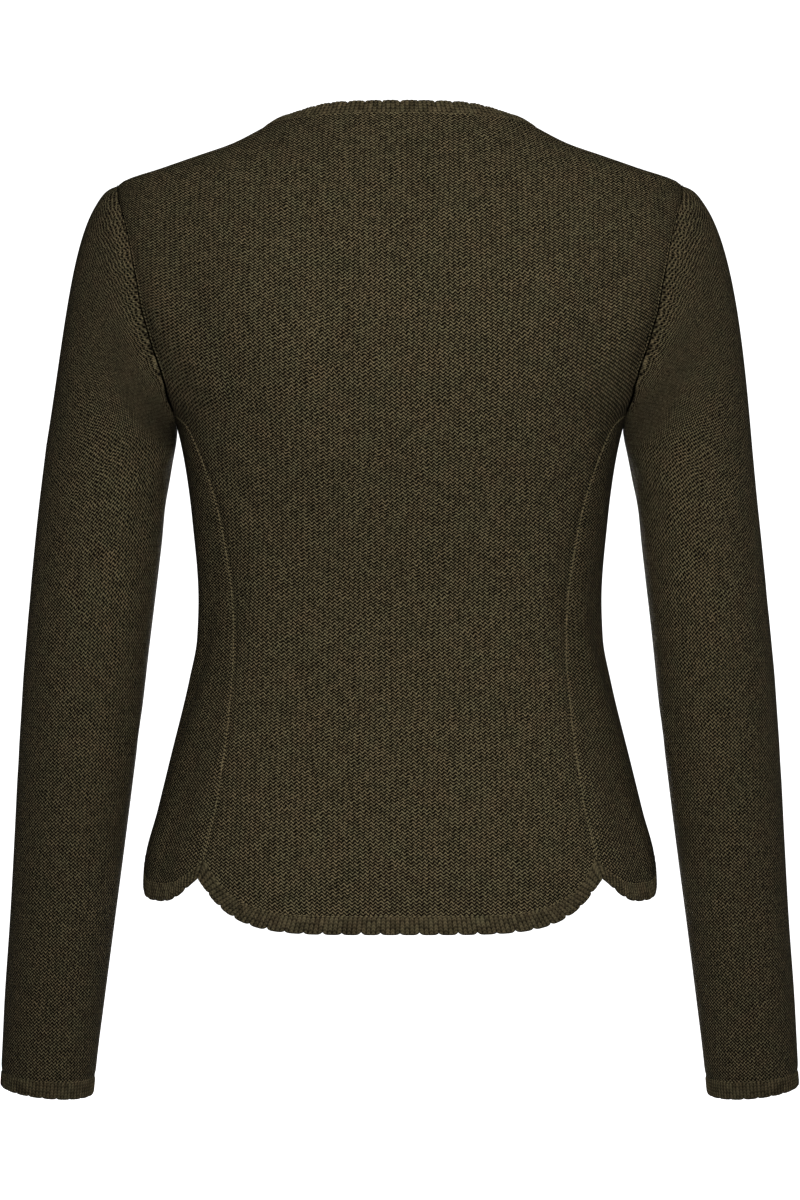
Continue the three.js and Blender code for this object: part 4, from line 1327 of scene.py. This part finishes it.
def noise(tree, vector, scale, detail=2.0, roughness=0.5):
    node = tree.nodes.new("ShaderNodeTexNoise")
    node.inputs["Scale"].default_value = scale
    node.inputs["Detail"].default_value = detail
    node.inputs["Roughness"].default_value = roughness
    tree.links.new(vector, node.inputs["Vector"])
    return Wire(tree, node.outputs["Fac"])


def mix_colour(tree, factor, a, b):
    node = tree.nodes.new("ShaderNodeMix")
    node.data_type = "RGBA"
    tree.links.new(factor.socket, node.inputs[0])
    for socket, value in ((node.inputs[6], a), (node.inputs[7], b)):
        if isinstance(value, tuple):
            socket.default_value = (*value, 1.0)
        else:
            tree.links.new(value, socket)
    return node.outputs[2]


GREEN_YARN = (0.134, 0.119, 0.067)
BROWN_YARN = (0.154, 0.120, 0.069)
# Painted shade, for the gaps between stitches and the grooves between ribs
DEEP_SHADE = (0.0035, 0.0024, 0.0008)
YARN_CONTRAST = 2.0
YARN_ROUGHNESS = 0.92
YARN_SPECULAR = 0.04
PATCH_CONTRAST = 2.4
# Noise scales: a single fibre, a soft patch of one yarn, and one stitch of a seam
FIBRE_SCALE = 2600.0
PATCH_SCALE = 70.0
LINK_SCALE = 330.0
# How far the rows bend up and down within a stitch
ZIGZAG = 0.33
# How far a rib's stitches point upwards at the middle of the rib
RIB_POINT = 0.55
FULL_TURN = 2 * math.pi
# Height of each material's relief, in metres
KNIT_RELIEF = 0.0008
RIB_RELIEF = 0.0003
SEAM_RELIEF = 0.0002
METAL_RELIEF = 0.00005
METAL_ROUGHNESS = 0.42
DARK_METAL = (0.16, 0.15, 0.13)
BRIGHT_METAL = (0.42, 0.40, 0.36)
METAL_CLOUD_SCALE = 260.0
METAL_GRAIN_SCALE = 1900.0
PLAIN_SPECULAR = 0.5


def start_material(name, roughness=YARN_ROUGHNESS, specular=YARN_SPECULAR):
    material = bpy.data.materials.new(name)
    material.use_nodes = True
    tree = material.node_tree
    shader = tree.nodes["Principled BSDF"]
    shader.inputs["Roughness"].default_value = roughness
    shader.inputs["Specular IOR Level"].default_value = specular
    return material, tree, shader


def yarn_colour(tree, place, shade):
    """Olive and brown fibres in soft patches, in their own colour on the stitches, with painted shade
    between them.
    """
    patches = noise(tree, place, PATCH_SCALE, 3.0, 0.62)
    patches = ((patches - 0.5) * PATCH_CONTRAST + 0.5).clamp()
    yarn = mix_colour(tree, patches, GREEN_YARN, BROWN_YARN)
    bright = shade.math("POWER", YARN_CONTRAST)
    return mix_colour(tree, bright, DEEP_SHADE, yarn)


def per_stitch(tree, across, up):
    """A random number from 0 to 1 for each stitch."""
    pair = tree.nodes.new("ShaderNodeCombineXYZ")
    tree.links.new(across.math("FLOOR").socket, pair.inputs[0])
    tree.links.new(up.math("FLOOR").socket, pair.inputs[1])
    node = tree.nodes.new("ShaderNodeTexWhiteNoise")
    node.noise_dimensions = "2D"
    tree.links.new(pair.outputs[0], node.inputs["Vector"])
    return Wire(tree, node.outputs["Value"])


def finish_material(tree, shader, colour, height, distance):
    tree.links.new(colour, shader.inputs["Base Color"])
    bump = tree.nodes.new("ShaderNodeBump")
    bump.inputs["Strength"].default_value = 1.0
    bump.inputs["Distance"].default_value = distance
    tree.links.new(height.socket, bump.inputs["Height"])
    tree.links.new(bump.outputs["Normal"], shader.inputs["Normal"])


def stitch_place(tree):
    uv = tree.nodes.new("ShaderNodeUVMap")
    uv.uv_map = "knit"
    split = tree.nodes.new("ShaderNodeSeparateXYZ")
    tree.links.new(uv.outputs[0], split.inputs[0])
    return uv.outputs[0], Wire(tree, split.outputs[0]), Wire(tree, split.outputs[1])


def object_place(tree):
    node = tree.nodes.new("ShaderNodeTexCoord")
    return node.outputs["Object"]


def knit_material(name, stitch):
    """Rows of purl bumps that read as fine zigzag lines, with painted shade in the gaps between their
    bends.
    """
    material, tree, shader = start_material(name)
    uv, u, v = stitch_place(tree)
    place = object_place(tree)
    drift = noise(tree, uv, 0.05)
    sway = noise(tree, uv, 0.2, 2.0, 0.6)
    u = (u + (drift - 0.5) * 4.0 + (sway - 0.5) * 1.2) / stitch[0]
    v = (v + (drift - 0.5) * 3.0 + (sway - 0.5) * 0.7) / stitch[1]
    bend = (u * FULL_TURN).math("COSINE")
    row = v + bend * ZIGZAG
    wave = (row * FULL_TURN).math("COSINE")
    bead = bend * bend
    # A painted highlight on the legs of the zigzag that lean one way
    leg_highlight = (u * FULL_TURN).math("SINE")
    single = per_stitch(tree, u * 2 + 0.5, row + 0.5)
    fibre = noise(tree, place, FIBRE_SCALE)
    relief = wave * (bead * 0.4 + 0.6)
    height = relief * 0.5 + (fibre - 0.5) * 0.2
    # The stitches' colour holds painted light and shade: lighter on the bumps and their bends, painted
    # shade in the gaps, and a painted highlight on one leg of each zigzag
    shade = relief * 0.62 + leg_highlight * 0.1 + 0.47 + (single - 0.5) * 0.32 + (fibre - 0.5) * 0.3
    colour = yarn_colour(tree, place, shade.clamp())
    finish_material(tree, shader, colour, height, KNIT_RELIEF)
    return material


def rib_material(name, row):
    """Columns of small V stitches on each rib, with painted shade in the grooves between them."""
    material, tree, shader = start_material(name)
    uv, u, v = stitch_place(tree)
    place = object_place(tree)
    rib = (u * FULL_TURN).math("COSINE") * -0.5 + 0.5
    place_up = v / row + rib * RIB_POINT
    stitch = (place_up * FULL_TURN).math("COSINE") * 0.5 + 0.5
    single = per_stitch(tree, u, place_up)
    fibre = noise(tree, place, FIBRE_SCALE)
    height = stitch * 0.5 + rib * 0.4 + (fibre - 0.5) * 0.3
    legs = (u * (2 * FULL_TURN)).math("COSINE") * -0.5 + 0.5
    # Painted shade in the grooves between the ribs and between the legs of each V, lighter on the
    # stitches
    shade = rib * 0.22 + legs * 0.16 + stitch * 0.22 + 0.24
    shade = shade + (single - 0.5) * 0.24 + (fibre - 0.5) * 0.4
    colour = yarn_colour(tree, place, shade.clamp())
    finish_material(tree, shader, colour, height, RIB_RELIEF)
    return material


def seam_material(name):
    material, tree, shader = start_material(name)
    place = object_place(tree)
    fibre = noise(tree, place, FIBRE_SCALE)
    single = noise(tree, place, LINK_SCALE, 1.0)
    shade = single * 0.3 + 0.75 + (fibre - 0.5) * 0.4
    colour = yarn_colour(tree, place, shade.clamp())
    finish_material(tree, shader, colour, fibre, SEAM_RELIEF)
    return material


def metal_material(name):
    """Aged silver-coloured metal, darker where it is less rubbed."""
    material, tree, shader = start_material(name, METAL_ROUGHNESS, PLAIN_SPECULAR)
    shader.inputs["Metallic"].default_value = 1.0
    place = object_place(tree)
    cloud = noise(tree, place, METAL_CLOUD_SCALE, 4.0)
    grain = noise(tree, place, METAL_GRAIN_SCALE, 3.0)
    worn = ((cloud - 0.5) * PATCH_CONTRAST + 0.5).clamp()
    colour = mix_colour(tree, worn, DARK_METAL, BRIGHT_METAL)
    rough = cloud * 0.3 + 0.24
    tree.links.new(rough.socket, shader.inputs["Roughness"])
    finish_material(tree, shader, colour, grain, METAL_RELIEF)
    return material


def floor_material():
    material, _, shader = start_material("floor", 0.95, PLAIN_SPECULAR)
    shader.inputs["Base Color"].default_value = (0.8, 0.8, 0.8, 1)
    shader.inputs["Emission Color"].default_value = (1, 1, 1, 1)
    shader.inputs["Emission Strength"].default_value = 1.0
    return material


# Stage, light and camera


FLOOR_CORNER = 9.0
FLOOR_Z = -0.95

# Lights: name, place, target and size in metres, power in watts
LIGHTS = [
    ("key_back", (-0.03, 0.95, -0.18), (0, 0, -0.36), (0.3, 1.0), 11.2),
    ("key_front", (0.03, -0.95, -0.18), (0, 0, -0.36), (0.3, 1.0), 11.2),
    ("side_left", (2.4, 0, -0.2), (0, 0, -0.4), (0.3, 1.2), 5.5),
    ("side_right", (-2.4, 0, -0.2), (0, 0, -0.4), (0.3, 1.2), 10),
    ("top", (-0.1, 0.3, 1.2), (0, 0, 0), (1.2, 0.8), 10),
]
WORLD_STRENGTH = 0.025
SENSOR = 36


def stage():
    mesh = bpy.data.meshes.new("floor")
    around = [(-1, -1), (1, -1), (1, 1), (-1, 1)]
    corners = [(x * FLOOR_CORNER, y * FLOOR_CORNER, FLOOR_Z) for x, y in around]
    mesh.from_pydata(corners, [], [(0, 1, 2, 3)])
    mesh.materials.append(floor_material())
    floor = bpy.data.objects.new("floor", mesh)
    floor.visible_diffuse = False
    bpy.context.collection.objects.link(floor)


def area_light(name, place, target, size, power):
    data = bpy.data.lights.new(name, "AREA")
    data.shape = "RECTANGLE"
    data.size, data.size_y = size
    data.energy = power
    obj = bpy.data.objects.new(name, data)
    obj.location = place
    obj.visible_camera = False
    aim = np.array(target) - np.array(place)
    tilt = math.atan2(aim[2], math.hypot(aim[0], aim[1]))
    heading = math.atan2(aim[1], aim[0])
    obj.rotation_euler = (math.pi / 2 + tilt, 0, heading - math.pi / 2)
    bpy.context.collection.objects.link(obj)


def lights():
    world = bpy.data.worlds.new("studio")
    world.use_nodes = True
    tree = world.node_tree
    background = tree.nodes["Background"]
    background.inputs["Color"].default_value = (1, 1, 1, 1)
    path = tree.nodes.new("ShaderNodeLightPath")
    strength = tree.nodes.new("ShaderNodeMapRange")
    strength.inputs["To Min"].default_value = WORLD_STRENGTH
    strength.inputs["To Max"].default_value = 1.0
    tree.links.new(path.outputs["Is Camera Ray"], strength.inputs["Value"])
    tree.links.new(strength.outputs["Result"], background.inputs["Strength"])
    bpy.context.scene.world = world
    for row in LIGHTS:
        area_light(*row)


def camera():
    data = bpy.data.cameras.new("camera")
    data.sensor_fit = "VERTICAL"
    data.sensor_height = SENSOR
    data.lens = SENSOR * CAMERA_DISTANCE / FRAME_HEIGHT
    data.clip_end = 50
    obj = bpy.data.objects.new("camera", data)
    obj.location = (0, CAMERA_DISTANCE * MM, CAMERA_HEIGHT * MM)
    obj.rotation_euler = (math.pi / 2, 0, math.pi)
    bpy.context.collection.objects.link(obj)
    bpy.context.scene.camera = obj


HANDS = {"left": 1.0, "right": -1.0}


def cardigan():
    body_knit = knit_material("body_knit", BODY_STITCH)
    sleeve_knit = knit_material("sleeve_knit", SLEEVE_STITCH)
    rib = rib_material("rib", RIB_ROW)
    seam = seam_material("seam")
    back_panel(body_knit)
    cuffs = {}
    for hand, side in HANDS.items():
        side_panel(hand, side, True, body_knit)
        side_panel(hand, side, False, body_knit)
        front_panel(hand, side, body_knit)
        sleeve(hand, side, sleeve_knit)
        cuffs[f"link_cuff_{hand}"] = cuff(hand, side, rib)
        front_band(hand, rib)
    hem = hem_band(rib)
    neck = neckband(rib)
    buttons(metal_material("aged_metal"))
    seam_stitches(seam, {"link_neck": neck, "link_hem": hem, **cuffs})


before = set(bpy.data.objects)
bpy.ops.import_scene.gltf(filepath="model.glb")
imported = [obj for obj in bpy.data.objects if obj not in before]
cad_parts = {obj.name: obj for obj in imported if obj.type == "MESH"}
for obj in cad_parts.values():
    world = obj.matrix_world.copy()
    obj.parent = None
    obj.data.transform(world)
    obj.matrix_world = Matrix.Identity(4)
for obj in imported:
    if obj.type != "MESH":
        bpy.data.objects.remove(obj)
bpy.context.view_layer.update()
view = bpy.context.scene.view_settings
view.view_transform = "Standard"
view.gamma = 0.86
view.exposure = 0.35
camera()
lights()
stage()
cardigan()
